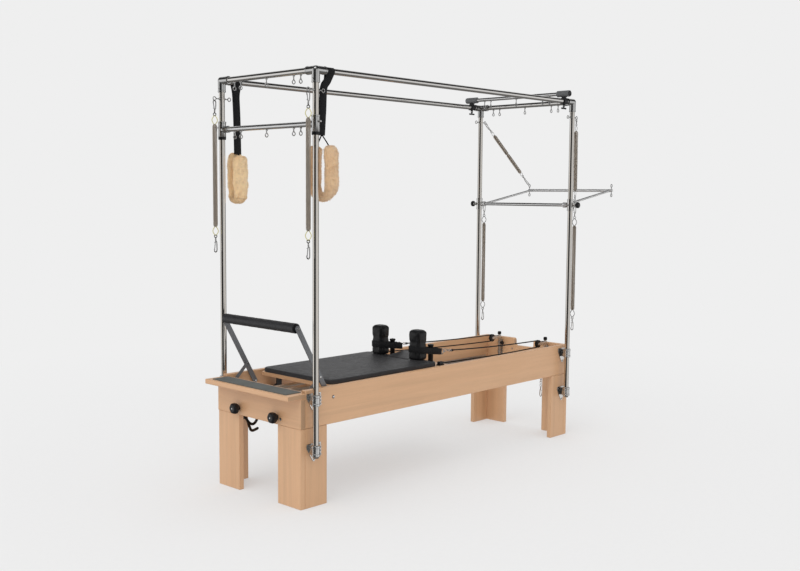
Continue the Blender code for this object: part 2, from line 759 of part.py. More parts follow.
def carriage():
    body("carriage", at(DECK_FRONT, 0, TRACK_TOP))
    axle_z = TRACK_TOP + GAP + WHEEL_RADIUS
    fork_outer = WHEEL_INNER_Y - 0.0012
    bm = bmesh.new()
    add_prism(bm, rounded_box_outline(along(DECK_FRONT), along(DECK_BACK), -DECK_HALF_WIDTH, DECK_HALF_WIDTH,
                                      0.012), "Z", DECK_UNDER, DECK_TOP)
    deck = piece("carriage_deck", bm, "beech", "carriage")

    def forks(bm):
        for station in WHEEL_STATIONS:
            for _, side in SIDES:
                add_box(bm, at(station - FORK_HALF, side * (fork_outer - FORK_PLATE), axle_z - 0.010),
                        at(station + FORK_HALF, side * fork_outer, DECK_UNDER + 0.004))

    def axles(bm):
        for station in WHEEL_STATIONS:
            for _, side in SIDES:
                add_rod(bm, at(station, side * (fork_outer - 0.003), axle_z),
                        at(station, side * (WHEEL_INNER_Y + WHEEL_WIDTH + 0.002), axle_z), AXLE_RADIUS, 8)

    def pegs(bm):
        for _, side in SIDES:
            add_turned(bm, at(PEG_STATION, side * PEG_Y, DECK_TOP - 0.004), UP,
                       [(0, PEG_RADIUS), (PEG_HEIGHT - 0.004, PEG_RADIUS),
                        (PEG_HEIGHT - 0.003, PEG_RADIUS + 0.003),
                        (PEG_HEIGHT + 0.006, PEG_RADIUS + 0.002)], 10)
            add_box(bm, at(CLEAT_BACK - CLEAT_LENGTH, side * CLEAT_Y - CLEAT_HALF, DECK_TOP - 0.004),
                    at(CLEAT_BACK, side * CLEAT_Y + CLEAT_HALF, DECK_TOP + CLEAT_HEIGHT))

    for build in (forks, axles, pegs):
        boolean(deck, "UNION", build)

    bm = bmesh.new()
    low = DECK_TOP + GAP
    layers = ((low, 0.0), (PAD_TOP - 0.010, 0.0), (PAD_TOP - 0.003, 0.004), (PAD_TOP, 0.012))
    loops = []
    for z, inset in layers:
        outline = rounded_box_outline(along(DECK_FRONT) + inset, along(PAD_BACK) - inset,
                                      -PAD_HALF_WIDTH + inset, PAD_HALF_WIDTH - inset, PAD_CORNER - inset)
        loops.append([(a, b, z) for a, b in outline])
    add_loops(bm, loops, closed=False)
    pad = piece("carriage_pad", bm, "black_vinyl", "carriage")

    def notch(bm):
        half = HEADREST_HALF_WIDTH + NOTCH_GAP
        add_box(bm, at(PAD_NOTCH, -half, DECK_TOP - 0.01), at(PAD_BACK + 0.01, half, PAD_TOP + 0.01))

    boolean(pad, "DIFFERENCE", notch)


def carriage_wheel(end_name, station, side_name, side):
    axle_z = TRACK_TOP + GAP + WHEEL_RADIUS
    name = f"wheel_{end_name}_{side_name}"
    body(name, at(station, side * WHEEL_INNER_Y, axle_z), "carriage")
    bm = bmesh.new()
    w = WHEEL_WIDTH
    add_turned(bm, at(station, side * WHEEL_INNER_Y, axle_z), ACROSS * side,
               [(0, WHEEL_RADIUS - 0.003), (0.002, WHEEL_RADIUS), (w - 0.002, WHEEL_RADIUS),
                (w, WHEEL_RADIUS - 0.003)], 16)
    wheel = piece(name, bm, "grey_rubber", name)

    def bore(bm):
        add_rod(bm, at(station, side * (WHEEL_INNER_Y - 0.01), axle_z),
                at(station, side * (WHEEL_INNER_Y + w + 0.01), axle_z), AXLE_RADIUS + BORE_GAP, 8)

    boolean(wheel, "DIFFERENCE", bore)


def headrest():
    """Wedge-shaped pad on a board, hinged at the end of the carriage pad and propped a little."""
    hinge = at(HEADREST_HINGE, 0, DECK_TOP + GAP)
    body("headrest", hinge, "carriage")
    c, s = math.cos(HEADREST_TILT), math.sin(HEADREST_TILT)
    outline = [(0, 0), (HEADREST_LENGTH, 0), (HEADREST_LENGTH, HEADREST_THICKNESS - 0.006),
               (HEADREST_LENGTH - 0.006, HEADREST_THICKNESS),
               (HEADREST_FRONT_LEAN + 0.004, HEADREST_THICKNESS),
               (HEADREST_FRONT_LEAN, HEADREST_THICKNESS - 0.004)]
    turned = [(hinge.x + a * c - b * s, hinge.z + a * s + b * c) for a, b in outline]
    bm = bmesh.new()
    add_prism(bm, turned, "Y", -HEADREST_HALF_WIDTH, HEADREST_HALF_WIDTH)
    piece("headrest_pad", bm, "black_vinyl", "headrest")


def shoulder_rest(side_name, side):
    bm = bmesh.new()
    y = side * REST_Y
    low = PAD_TOP + GAP
    x0, x1 = along(REST_STATION - REST_HALF_DEPTH), along(REST_STATION + REST_HALF_DEPTH)
    layers = ((0.0, 0.006), (0.012, 0.0), (REST_HEIGHT - 0.020, 0.0), (REST_HEIGHT, 0.010))
    loops = []
    for rise, inset in layers:
        outline = rounded_box_outline(x0 + inset, x1 - inset, y - REST_HALF_WIDTH + inset,
                                      y + REST_HALF_WIDTH - inset, REST_CORNER - inset * 0.5)
        loops.append([(a, b, low + rise) for a, b in outline])
    add_loops(bm, loops, closed=False)
    piece(f"shoulder_rest_{side_name}", bm, "black_vinyl", "carriage")


def hand_strap(side_name, side):
    """A loop of webbing round a shoulder rest and its peg, with a ring and a snap hook for the rope."""
    y = side * REST_Y
    inner_x = along(REST_STATION - REST_HALF_DEPTH) - GAP * 4
    tail = along(STRAP_TAIL_STATION)
    half = REST_HALF_WIDTH + GAP * 4
    tail_y = side * ROPE_START_Y
    t = STRAP_THICKNESS

    def outline(grow, end):
        corner = REST_CORNER + grow
        low = arc((inner_x + REST_CORNER, y - half + REST_CORNER), corner, 180, 270, 3)
        high = arc((inner_x + REST_CORNER, y + half - REST_CORNER), corner, 90, 180, 3)
        back = along(PEG_STATION) + 0.030
        return low + [(back, y - half - grow), (end, tail_y - grow - 0.001), (end, tail_y + grow + 0.001),
                      (back, y + half + grow)] + high

    bm = bmesh.new()
    add_prism(bm, outline(t, tail), "Z", STRAP_LOW, STRAP_HIGH)
    for vertex in bm.verts:
        vertex.co.z -= STRAP_FALL * (vertex.co.x - inner_x) / (tail - inner_x)
    strap = piece(f"hand_strap_{side_name}", bm, "black_webbing", "carriage")

    def inside(bm):
        add_prism(bm, outline(0.0, tail - 0.022), "Z", STRAP_LOW - STRAP_FALL - 0.01, STRAP_HIGH + 0.01)

    def clip_ring(bm):
        centre = (along(CLIP_RING_STATION), tail_y, ROPE_START_Z + 0.010)
        add_ring(bm, centre, ACROSS, CLIP_RING_RADIUS, WIRE * 1.1)

    def clip(bm):
        start = CLIP_RING_STATION + CLIP_RING_RADIUS - 0.003
        add_turned(bm, at(start, tail_y, ROPE_START_Z), ALONG,
                   [(0, 0.003), (0.020, 0.0045), (0.060, 0.0045), (0.066, 0.007),
                    (ROPE_START - start - GAP, 0.007)], 8)

    boolean(strap, "DIFFERENCE", inside)
    boolean(strap, "UNION", clip_ring)
    boolean(strap, "UNION", clip)


def rope(side_name, side):
    """From the hand strap's hook round the pulley and back to the cleat on the deck's corner."""
    pulley = at(PULLEY_STATION, side * RISER_Y, PULLEY_Z)
    start = at(ROPE_START, side * ROPE_START_Y, ROPE_START_Z)
    end = at(CLEAT_BACK + GAP, side * CLEAT_Y, DECK_TOP + CLEAT_HEIGHT * 0.5)
    top, under = pulley + UP * ROPE_TURN, pulley - UP * ROPE_TURN
    steps = 6

    def run(a, b):
        points = []
        for i in range(steps):
            t = i / steps
            points.append(a.lerp(b, t) - UP * (4 * ROPE_SAG * t * (1 - t)))
        return points

    wrap = [pulley + ALONG * (ROPE_TURN * math.sin(t)) + UP * (ROPE_TURN * math.cos(t))
            for t in [math.pi * i / ROPE_WRAP_STEPS for i in range(ROPE_WRAP_STEPS + 1)]]
    lead = ALONG * (2 * ROPE_RADIUS)
    points = [start] + run(start + lead, top) + wrap + run(under, end + lead)[1:] + [end + lead, end]
    curve = bpy.data.curves.new(f"rope_{side_name}", "CURVE")
    curve.dimensions = "3D"
    curve.bevel_depth = ROPE_RADIUS
    curve.bevel_resolution = 1
    curve.render_resolution_u = 0
    curve.use_fill_caps = True
    spline = curve.splines.new("POLY")
    spline.points.add(len(points) - 1)
    for spot, point in zip(spline.points, points):
        spot.co = (*point, 1.0)
    curve.materials.append(MATERIALS["black_rope"])
    obj = bpy.data.objects.new(f"rope_{side_name}", curve)
    bpy.context.scene.collection.objects.link(obj)


def riser(side_name, side):
    """A post clamped to the head end board, with a fork that holds the pulley."""
    y = side * RISER_Y
    post = along(RISER_STATION)
    fork_half = PULLEY_WIDTH / 2 + SLIDE_GAP + FORK_SIDE
    bm = bmesh.new()
    add_rod(bm, at(RISER_STATION, y, RISER_BOTTOM), at(RISER_STATION, y, RISER_TOP), RISER_RADIUS, 8)
    obj = piece(f"riser_{side_name}", bm, "brushed_steel")

    def bracket(bm):
        board = along(BED_LENGTH - BOARD) - GAP
        add_box(bm, (board - 0.004, y - 0.016, 0.500), (board, y + 0.016, 0.606))
        add_box(bm, (post - 0.0125, y - fork_half, PULLEY_Z - 0.012),
                (post + 0.0125, y + fork_half, PULLEY_Z + 0.012))

    def clamp(bm):
        board = along(BED_LENGTH - BOARD) - GAP
        for z in (0.520, 0.582):
            add_box(bm, (post - 0.012, y - 0.012, z - 0.010), (board - 0.002, y + 0.012, z + 0.010))

    def fork(bm):
        for lean in (-1, 1):
            inner = y + lean * (PULLEY_WIDTH / 2 + SLIDE_GAP)
            add_box(bm, (along(PULLEY_STATION) - 0.009, inner, PULLEY_Z - 0.009),
                    (post - 0.004, inner + lean * FORK_SIDE, PULLEY_Z + 0.009))

    def axle(bm):
        add_rod(bm, at(PULLEY_STATION, y - fork_half - 0.002, PULLEY_Z),
                at(PULLEY_STATION, y + fork_half + 0.002, PULLEY_Z), PULLEY_PIN_RADIUS, 8)

    def knobs(bm):
        add_turned(bm, at(RISER_STATION, y, RISER_TOP - 0.002), UP,
                   [(0, 0.012), (0.012, 0.012), (0.018, 0.008)], 8)
        add_turned(bm, at(RISER_STATION, y - 0.010, 0.582), -ACROSS,
                   [(0, 0.005), (0.010, 0.005), (0.012, 0.013), (0.026, 0.011)], 8)

    for build in (clamp, bracket, fork, axle, knobs):
        boolean(obj, "UNION", build)


def pulley(side_name, side):
    name = f"pulley_{side_name}"
    spot = at(PULLEY_STATION, side * RISER_Y, PULLEY_Z)
    body(name, spot)
    flange = (PULLEY_WIDTH - GROOVE_WIDTH) / 2
    bm = bmesh.new()
    add_turned(bm, spot - ACROSS * (PULLEY_WIDTH / 2), ACROSS,
               [(0, PULLEY_RADIUS), (flange - 0.001, PULLEY_RADIUS), (flange, PULLEY_GROOVE),
                (PULLEY_WIDTH - flange, PULLEY_GROOVE), (PULLEY_WIDTH - flange + 0.001, PULLEY_RADIUS),
                (PULLEY_WIDTH, PULLEY_RADIUS)], 18)
    wheel = piece(name, bm, "black_plastic", name)

    def bore(bm):
        add_rod(bm, spot - ACROSS * 0.02, spot + ACROSS * 0.02, PULLEY_PIN_RADIUS + BORE_GAP, 8)

    boolean(wheel, "DIFFERENCE", bore)


# Tower


def upright(end_name, side_name, side):
    """A pole with its two wall clamps, two eye bolts and the corner fitting on top."""
    station = POLE_FOOT_STATION if end_name == "foot" else POLE_HEAD_STATION
    inward = 1 if end_name == "foot" else -1
    y = side * POLE_Y
    wall = side * (BED_WIDTH / 2 + GAP)
    corner = at(station, y, TOWER_TOP)
    bm = bmesh.new()
    add_rod(bm, at(station, y, POLE_BOTTOM), corner, TUBE_RADIUS)
    pole = piece(f"upright_{end_name}_{side_name}", bm, "chrome_tube")

    def fitting_post(bm):
        add_turned(bm, corner - UP * FITTING_REACH, UP,
                   [(0, FITTING_RADIUS), (FITTING_REACH, FITTING_RADIUS),
                    (FITTING_REACH + 0.012, FITTING_RADIUS * 0.82),
                    (FITTING_REACH + 0.020, FITTING_RADIUS * 0.36)])

    def fitting_arm(direction):
        def build(bm):
            add_rod(bm, corner, corner + direction * FITTING_REACH, FITTING_RADIUS)
        return build

    def bores(bm):
        for direction in (ALONG * inward, ACROSS * -side):
            add_rod(bm, corner + direction * (FITTING_RADIUS + 0.001),
                    corner + direction * (FITTING_REACH + 0.01), TUBE_RADIUS + BORE_GAP)

    def clamps(bm):
        for z in (CLAMP_LOWER, CLAMP_UPPER):
            centre, half = at(station, y, z), UP * (CLAMP_HEIGHT / 2)
            add_rod(bm, centre - half, centre + half, CLAMP_RADIUS)

    def blocks(bm):
        for z in (CLAMP_LOWER, CLAMP_UPPER):
            inner, half = wall + side * PLATE_THICKNESS * 0.5, CLAMP_HEIGHT * 0.42
            add_box(bm, at(station - CLAMP_BLOCK_HALF, inner, z - half),
                    at(station + CLAMP_BLOCK_HALF, y - side * 0.010, z + half))

    def plates(bm):
        shift = station + inward * PLATE_SHIFT[end_name]
        for z in (CLAMP_LOWER, CLAMP_UPPER):
            top = z + CLAMP_HEIGHT / 2 + 0.002
            tip = z - PLATE_TIP_DROP + PLATE_TIP_RADIUS
            outline = [(along(shift - PLATE_HALF), top - 0.028), (along(shift - PLATE_HALF), top)]
            outline += [(along(shift + PLATE_HALF), top), (along(shift + PLATE_HALF), top - 0.028)]
            outline += arc((along(shift), tip), PLATE_TIP_RADIUS, -25, -155, 2)
            add_prism(bm, outline, "Y", wall, wall + side * PLATE_THICKNESS)

    arms = fitting_arm(ALONG * inward), fitting_arm(ACROSS * -side)
    for build in (fitting_post, *arms, clamps, blocks, plates):
        boolean(pole, "UNION", build)
    boolean(pole, "DIFFERENCE", bores)
    for out in (ALONG, -ALONG):
        add_eyes(pole, [at(station, y, POLE_EYE_Z)], out, POLE_EYE_OUT, TUBE_RADIUS)


def cross_tube(end_name, station):
    """A top tube across the tower, seated in two corner fittings, with five eye bolts under it."""
    seat = POLE_Y - FITTING_RADIUS - 0.001 - GAP
    bm = bmesh.new()
    add_rod(bm, at(station, -seat, TOWER_TOP), at(station, seat, TOWER_TOP), TUBE_RADIUS)
    tube = piece(f"{end_name}_cross_tube", bm, "chrome_tube")
    add_eyes(tube, [at(station, y, TOWER_TOP) for y in EYE_YS], -UP, EYE_DROP, TUBE_RADIUS)


def long_tube(side_name, side):
    seat = FITTING_RADIUS + 0.001 + GAP
    bm = bmesh.new()
    add_rod(bm, at(POLE_FOOT_STATION + seat, side * POLE_Y, TOWER_TOP),
            at(POLE_HEAD_STATION - seat, side * POLE_Y, TOWER_TOP), TUBE_RADIUS)
    piece(f"long_tube_{side_name}", bm, "chrome_tube")


def low_cross_bar():
    """Cross bar on two sleeves, which slides on the foot poles; a pull pin on each sleeve holds it."""
    station = POLE_FOOT_STATION
    body("low_cross_bar", at(station, 0, LOW_BAR_Z))
    bm = bmesh.new()
    add_rod(bm, at(station, -POLE_Y, LOW_BAR_Z), at(station, POLE_Y, LOW_BAR_Z), LOW_BAR_RADIUS)
    bar = piece("low_cross_bar", bm, "brushed_steel", "low_cross_bar")

    def sleeves(bm):
        for _, side in SIDES:
            add_rod(bm, at(station, side * POLE_Y, LOW_BAR_Z - LOW_SLEEVE_BELOW),
                    at(station, side * POLE_Y, LOW_BAR_Z + LOW_SLEEVE_ABOVE), SLEEVE_RADIUS)

    def sockets(bm):
        for _, side in SIDES:
            add_rod(bm, at(station, side * (POLE_Y - 0.060), LOW_BAR_Z),
                    at(station, side * POLE_Y, LOW_BAR_Z), SOCKET_RADIUS)

    def pins(bm):
        for _, side in SIDES:
            add_turned(bm, at(station, side * (POLE_Y + KNOB_BOSS_START), LOW_BAR_Z + 0.012), ACROSS * side,
                       [(0, PULL_PIN_RADIUS * 0.7), (0.010, PULL_PIN_RADIUS * 0.7), (0.011, PULL_PIN_RADIUS),
                        (PULL_PIN_LENGTH, PULL_PIN_RADIUS)], 8)

    def bores(bm):
        for _, side in SIDES:
            add_rod(bm, at(station, side * POLE_Y, LOW_BAR_Z - 0.1),
                    at(station, side * POLE_Y, LOW_BAR_Z + 0.1), TUBE_RADIUS + SLIDE_GAP)

    for build in (sleeves, sockets, pins):
        boolean(bar, "UNION", build)
    boolean(bar, "DIFFERENCE", bores)
    add_eyes(bar, [at(station, y, LOW_BAR_Z) for y in EYE_YS], -UP, EYE_DROP - 0.006, LOW_BAR_RADIUS)


def slider_bar():
    """Cross bar that rides on the two long tubes and is clamped from below by T knobs."""
    station = SLIDER_STATION
    body("slider_bar", at(station, 0, TOWER_TOP))
    bm = bmesh.new()
    add_rod(bm, at(station, -SLIDER_CAP_Y, SLIDER_Z), at(station, SLIDER_CAP_Y, SLIDER_Z), SLIDER_RADIUS)
    bar = piece("slider_bar", bm, "brushed_steel", "slider_bar")

    def caps(bm):
        for _, side in SIDES:
            add_turned(bm, at(station, side * (SLIDER_CAP_Y - SLIDER_CAP_HALF), SLIDER_Z), ACROSS * side,
                       [(0, SLIDER_CAP_RADIUS), (2 * SLIDER_CAP_HALF - 0.010, SLIDER_CAP_RADIUS),
                        (2 * SLIDER_CAP_HALF, SLIDER_CAP_RADIUS * 0.8)])

    def clamps(bm):
        for _, side in SIDES:
            add_rod(bm, at(station - SLIDER_CLAMP_HALF, side * POLE_Y, TOWER_TOP),
                    at(station + SLIDER_CLAMP_HALF, side * POLE_Y, TOWER_TOP), SLIDER_CLAMP_RADIUS)

    def necks(bm):
        for _, side in SIDES:
            half, y = SLIDER_NECK_HALF, side * POLE_Y
            add_box(bm, at(station - half, y - half, TOWER_TOP + KNOB_BOSS_START),
                    at(station + half, y + half, SLIDER_Z - 0.006))

    def bores(bm):
        for _, side in SIDES:
            add_rod(bm, at(station - 0.1, side * POLE_Y, TOWER_TOP),
                    at(station + 0.1, side * POLE_Y, TOWER_TOP), TUBE_RADIUS + SLIDE_GAP)

    def knob_holes(bm):
        for _, side in SIDES:
            add_rod(bm, at(station, side * POLE_Y, TOWER_TOP - 0.05), at(station, side * POLE_Y, TOWER_TOP),
                    T_KNOB_STUD + BORE_GAP, 12)

    for build in (caps, clamps, necks):
        boolean(bar, "UNION", build)
    boolean(bar, "DIFFERENCE", bores)
    boolean(bar, "DIFFERENCE", knob_holes)
    add_eyes(bar, [at(station, y, SLIDER_Z) for y in EYE_YS], -UP, EYE_DROP, SLIDER_RADIUS)


def slider_knob(side_name, side):
    name = f"slider_knob_{side_name}"
    spot = at(SLIDER_STATION, side * POLE_Y, TOWER_TOP - TUBE_RADIUS - SLIDE_GAP - GAP)
    body(name, spot, "slider_bar")
    bm = bmesh.new()
    add_turned(bm, spot, -UP, [(0, T_KNOB_STUD), (0.012, T_KNOB_STUD), (0.013, 0.008), (0.018, 0.008),
                               (0.020, T_KNOB_STUD), (T_KNOB_LENGTH, T_KNOB_STUD)], 12)
    knob = piece(name, bm, "black_plastic", name)

    def handle(bm):
        centre = spot - UP * T_KNOB_LENGTH
        end, length = T_KNOB_BAR_RADIUS * 0.6, 2 * T_KNOB_HALF
        add_turned(bm, centre - ALONG * T_KNOB_HALF, ALONG,
                   [(0, end), (0.004, T_KNOB_BAR_RADIUS), (length - 0.004, T_KNOB_BAR_RADIUS),
                    (length, end)], 10)

    boolean(knob, "UNION", handle)


# Push-through bar


def ptb_carrier():
    """Cross tube between two sleeves, which slides on the head poles."""
    station = POLE_HEAD_STATION
    body("ptb_carrier", at(station, 0, PTB_Z))
    bm = bmesh.new()
    add_rod(bm, at(station, -POLE_Y, PTB_Z), at(station, POLE_Y, PTB_Z), PTB_TUBE_RADIUS)
    carrier = piece("ptb_carrier", bm, "brushed_steel", "ptb_carrier")

    def sleeves(bm):
        for _, side in SIDES:
            add_rod(bm, at(station, side * POLE_Y, PTB_Z - PTB_SLEEVE_HALF),
                    at(station, side * POLE_Y, PTB_Z + PTB_SLEEVE_HALF), SLEEVE_RADIUS)

    def bosses(bm):
        for _, side in SIDES:
            add_turned(bm, at(station, side * (POLE_Y + KNOB_BOSS_START), PTB_Z), ACROSS * side,
                       [(0, 0.0105), (0.014, 0.0105)], 10)

    def bores(bm):
        for _, side in SIDES:
            add_rod(bm, at(station, side * POLE_Y, PTB_Z - 0.1), at(station, side * POLE_Y, PTB_Z + 0.1),
                    TUBE_RADIUS + SLIDE_GAP)

    def knob_holes(bm):
        for _, side in SIDES:
            add_rod(bm, at(station, side * POLE_Y, PTB_Z), at(station, side * (POLE_Y + 0.05), PTB_Z),
                    PTB_KNOB_STUD + BORE_GAP, 12)

    boolean(carrier, "UNION", sleeves)
    boolean(carrier, "UNION", bosses)
    boolean(carrier, "DIFFERENCE", bores)
    boolean(carrier, "DIFFERENCE", knob_holes)
    for out in (ALONG, -ALONG):
        add_eyes(carrier, [at(station, side * POLE_Y, PTB_Z) for _, side in SIDES], out, PTB_SIDE_EYE_OUT,
                 SLEEVE_RADIUS)


def ptb_knob(side_name, side):
    name = f"ptb_knob_{side_name}"
    inner = POLE_Y + TUBE_RADIUS + SLIDE_GAP + GAP
    spot = at(POLE_HEAD_STATION, side * inner, PTB_Z)
    body(name, spot, "ptb_carrier")
    reach = POLE_Y + PTB_KNOB_NEAR_FACE - inner
    r = PTB_KNOB_RADIUS
    bm = bmesh.new()
    add_turned(bm, spot, ACROSS * side,
               [(0, PTB_KNOB_STUD), (reach, PTB_KNOB_STUD), (reach, r * 0.55), (reach + 0.006, r * 0.55),
                (reach + 0.010, r * 0.97), (reach + 0.013, r), (reach + PTB_KNOB_LENGTH - 0.005, r),
                (reach + PTB_KNOB_LENGTH, r * 0.72)], 14)
    piece(name, bm, "black_plastic", name)


def ptb_bar():
    """The swinging bar: two collars on the carrier's tube, two arms and an end bar with eyes at both ends."""
    pivot = at(POLE_HEAD_STATION, 0, PTB_Z)
    body("ptb_bar", pivot, "ptb_carrier")
    end = pivot + ALONG * PTB_REACH + UP * PTB_RISE
    arm_y = PTB_COLLAR_Y + PTB_COLLAR_LENGTH / 2
    bm = bmesh.new()
    add_rod(bm, end - ACROSS * PTB_END_HALF, end + ACROSS * PTB_END_HALF, PTB_END_RADIUS)
    bar = piece("ptb_bar", bm, "brushed_steel", "ptb_bar")

    def arms(bm):
        lean = (end - pivot).normalized()
        for _, side in SIDES:
            offset = ACROSS * (side * arm_y)
            add_rod(bm, pivot + offset + lean * 0.014, end + offset, PTB_ARM_RADIUS, 12)

    def collars(bm):
        for _, side in SIDES:
            inner, outer = side * PTB_COLLAR_Y, side * (PTB_COLLAR_Y + PTB_COLLAR_LENGTH)
            add_rod(bm, pivot + ACROSS * inner, pivot + ACROSS * outer, PTB_COLLAR_RADIUS)

    def bore(bm):
        add_rod(bm, pivot - ACROSS * POLE_Y, pivot + ACROSS * POLE_Y, PTB_TUBE_RADIUS + SLIDE_GAP)

    boolean(bar, "UNION", arms)
    boolean(bar, "UNION", collars)
    boolean(bar, "DIFFERENCE", bore)
    spots = [end + ACROSS * (side * PTB_EYE_Y) for _, side in SIDES]
    for out in (UP, -UP):
        add_eyes(bar, spots, out, PTB_EYE_OFFSET, PTB_END_RADIUS)


# Hanging springs


def hanging_spring(name, eye, coil_top, coil_bottom, hook_bottom, carrier):
    """A spring on an eye bolt: link, loop, coil, loop and a snap hook at the bottom."""
    body(name, eye, carrier)
    link = eye - UP * (EYE_RING - EYE_WIRE - LINK_WIRE - GAP + LINK_RING)
    loop_drop = LOOP_RING + LOOP_WIRE
    upper = Vector((eye.x, eye.y, coil_top + loop_drop))
    lower = Vector((eye.x, eye.y, coil_bottom - loop_drop))
    snap = hook_bottom + LINK_RING + LINK_WIRE
    length = coil_top - coil_bottom
    bm = bmesh.new()
    add_turned(bm, Vector((eye.x, eye.y, coil_bottom - 0.003)), UP,
               [(0, COIL_NECK), (COIL_TAPER, COIL_RADIUS), (length + 0.006 - COIL_TAPER, COIL_RADIUS),
                (length + 0.006, COIL_NECK)], 10)
    spring = piece(name, bm, "spring_steel", name)

    def loops(bm):
        for centre in (upper, lower):
            add_ring(bm, centre, ACROSS, LOOP_RING, LOOP_WIRE)
        add_ring(bm, link, ALONG, LINK_RING, LINK_WIRE)
        add_ring(bm, (eye.x, eye.y, snap), ALONG, LINK_RING, LINK_WIRE, stretch=UP * 0.022)

    def shanks(bm):
        bite, grip = LOOP_RING - LOOP_WIRE * 0.5, LINK_RING - LINK_WIRE * 0.5
        for low, high in ((upper.z + bite, link.z - grip), (snap + 0.022 + grip, lower.z - bite)):
            add_rod(bm, (eye.x, eye.y, low), (eye.x, eye.y, high), 0.004, SMALL_ROUND)

    boolean(spring, "UNION", loops)
    boolean(spring, "UNION", shanks)


def stretched_spring(name, top_eye, end_eye, carrier):
    """A spring between two eyes: coil in the middle and a rod with a ring at each end."""
    run = end_eye - top_eye
    direction = run.normalized()
    length = run.length
    coil = UPPER_COIL_LENGTH
    first = (length - coil) * 0.48
    inset = EYE_RING - EYE_WIRE - LINK_WIRE - GAP
    bm = bmesh.new()
    add_turned(bm, top_eye + direction * (first - 0.004), direction,
               [(0, COIL_NECK), (COIL_TAPER, COIL_RADIUS), (coil + 0.004 - COIL_TAPER, COIL_RADIUS),
                (coil + 0.004, COIL_NECK)], 10)
    spring = piece(name, bm, "spring_steel", carrier)
    side = ACROSS.cross(direction).normalized()
    rings = (top_eye + direction * (inset + LINK_RING), end_eye - direction * (inset + LINK_RING))

    def ends(bm):
        for centre in rings:
            add_ring(bm, centre, side, LINK_RING, LINK_WIRE)

    def shanks(bm):
        near = rings[0] + direction * (LINK_RING - LINK_WIRE * 0.5)
        far = rings[1] - direction * (LINK_RING - LINK_WIRE * 0.5)
        add_rod(bm, near, top_eye + direction * (first + 0.002), 0.003, SMALL_ROUND)
        add_rod(bm, top_eye + direction * (first + coil - 0.004), far, 0.003, SMALL_ROUND)

    boolean(spring, "UNION", ends)
    boolean(spring, "UNION", shanks)


def springs():
    for side_name, side in SIDES:
        pole_eye = at(POLE_FOOT_STATION - POLE_EYE_OUT, side * POLE_Y, POLE_EYE_Z)
        hanging_spring(f"foot_spring_{side_name}", pole_eye, FOOT_COIL_TOP, FOOT_COIL_BOTTOM,
                       FOOT_HOOK_BOTTOM, None)
        carrier_eye = at(POLE_HEAD_STATION + PTB_SIDE_EYE_OUT, side * POLE_Y, PTB_Z)
        hanging_spring(f"head_spring_{side_name}", carrier_eye, HEAD_COIL_TOP, HEAD_COIL_BOTTOM,
                       HEAD_HOOK_BOTTOM, "ptb_carrier")
    near = at(POLE_HEAD_STATION + POLE_EYE_OUT, -POLE_Y, POLE_EYE_Z)
    near_end = at(POLE_HEAD_STATION + PTB_SIDE_EYE_OUT, -POLE_Y, PTB_Z)
    far = at(POLE_HEAD_STATION + POLE_EYE_OUT, POLE_Y, POLE_EYE_Z)
    far_end = at(POLE_HEAD_STATION + PTB_REACH, PTB_EYE_Y, PTB_Z + PTB_RISE + PTB_EYE_OFFSET)
    stretched_spring("upper_spring_near", near, near_end, "ptb_carrier")
    stretched_spring("upper_spring_far", far, far_end, "ptb_carrier")


# Fuzzy loops


def loop_line(side_name, side):
    """Middle line of the sheepskin in Y and Z: down one strand, round the bottom and up the other."""
    middle = side * POLE_Y + LOOP_DRIFT[side_name]
    half = LOOP_SPREAD[side_name] / 2
    low = LOOP_BOTTOM - LOOP_SINK[side_name] + LOOP_THICKNESS[side_name] / 2 + half
    high = LOOP_TOP - LOOP_SINK[side_name]
    down = [(middle - half * 0.80, high), (middle - half * 0.84, high - 0.012), (middle - half, high - 0.090)]
    up = [(2 * middle - y, z) for y, z in reversed(down)]
    return down + arc((middle, low), half, 180, 360, 6) + up


def loop_section(point, way, half, thick):
    """A flat rounded section across the sheepskin, square to its way in Y and Z."""
    out = Vector((0, -way[1], way[0]))
    spots = ((-1, -0.5), (-0.72, -1), (0.72, -1), (1, -0.5), (1, 0.5), (0.72, 1), (-0.72, 1), (-1, 0.5))
    return [point + ALONG * (a * half) + out * (b * thick / 2) for a, b in spots]


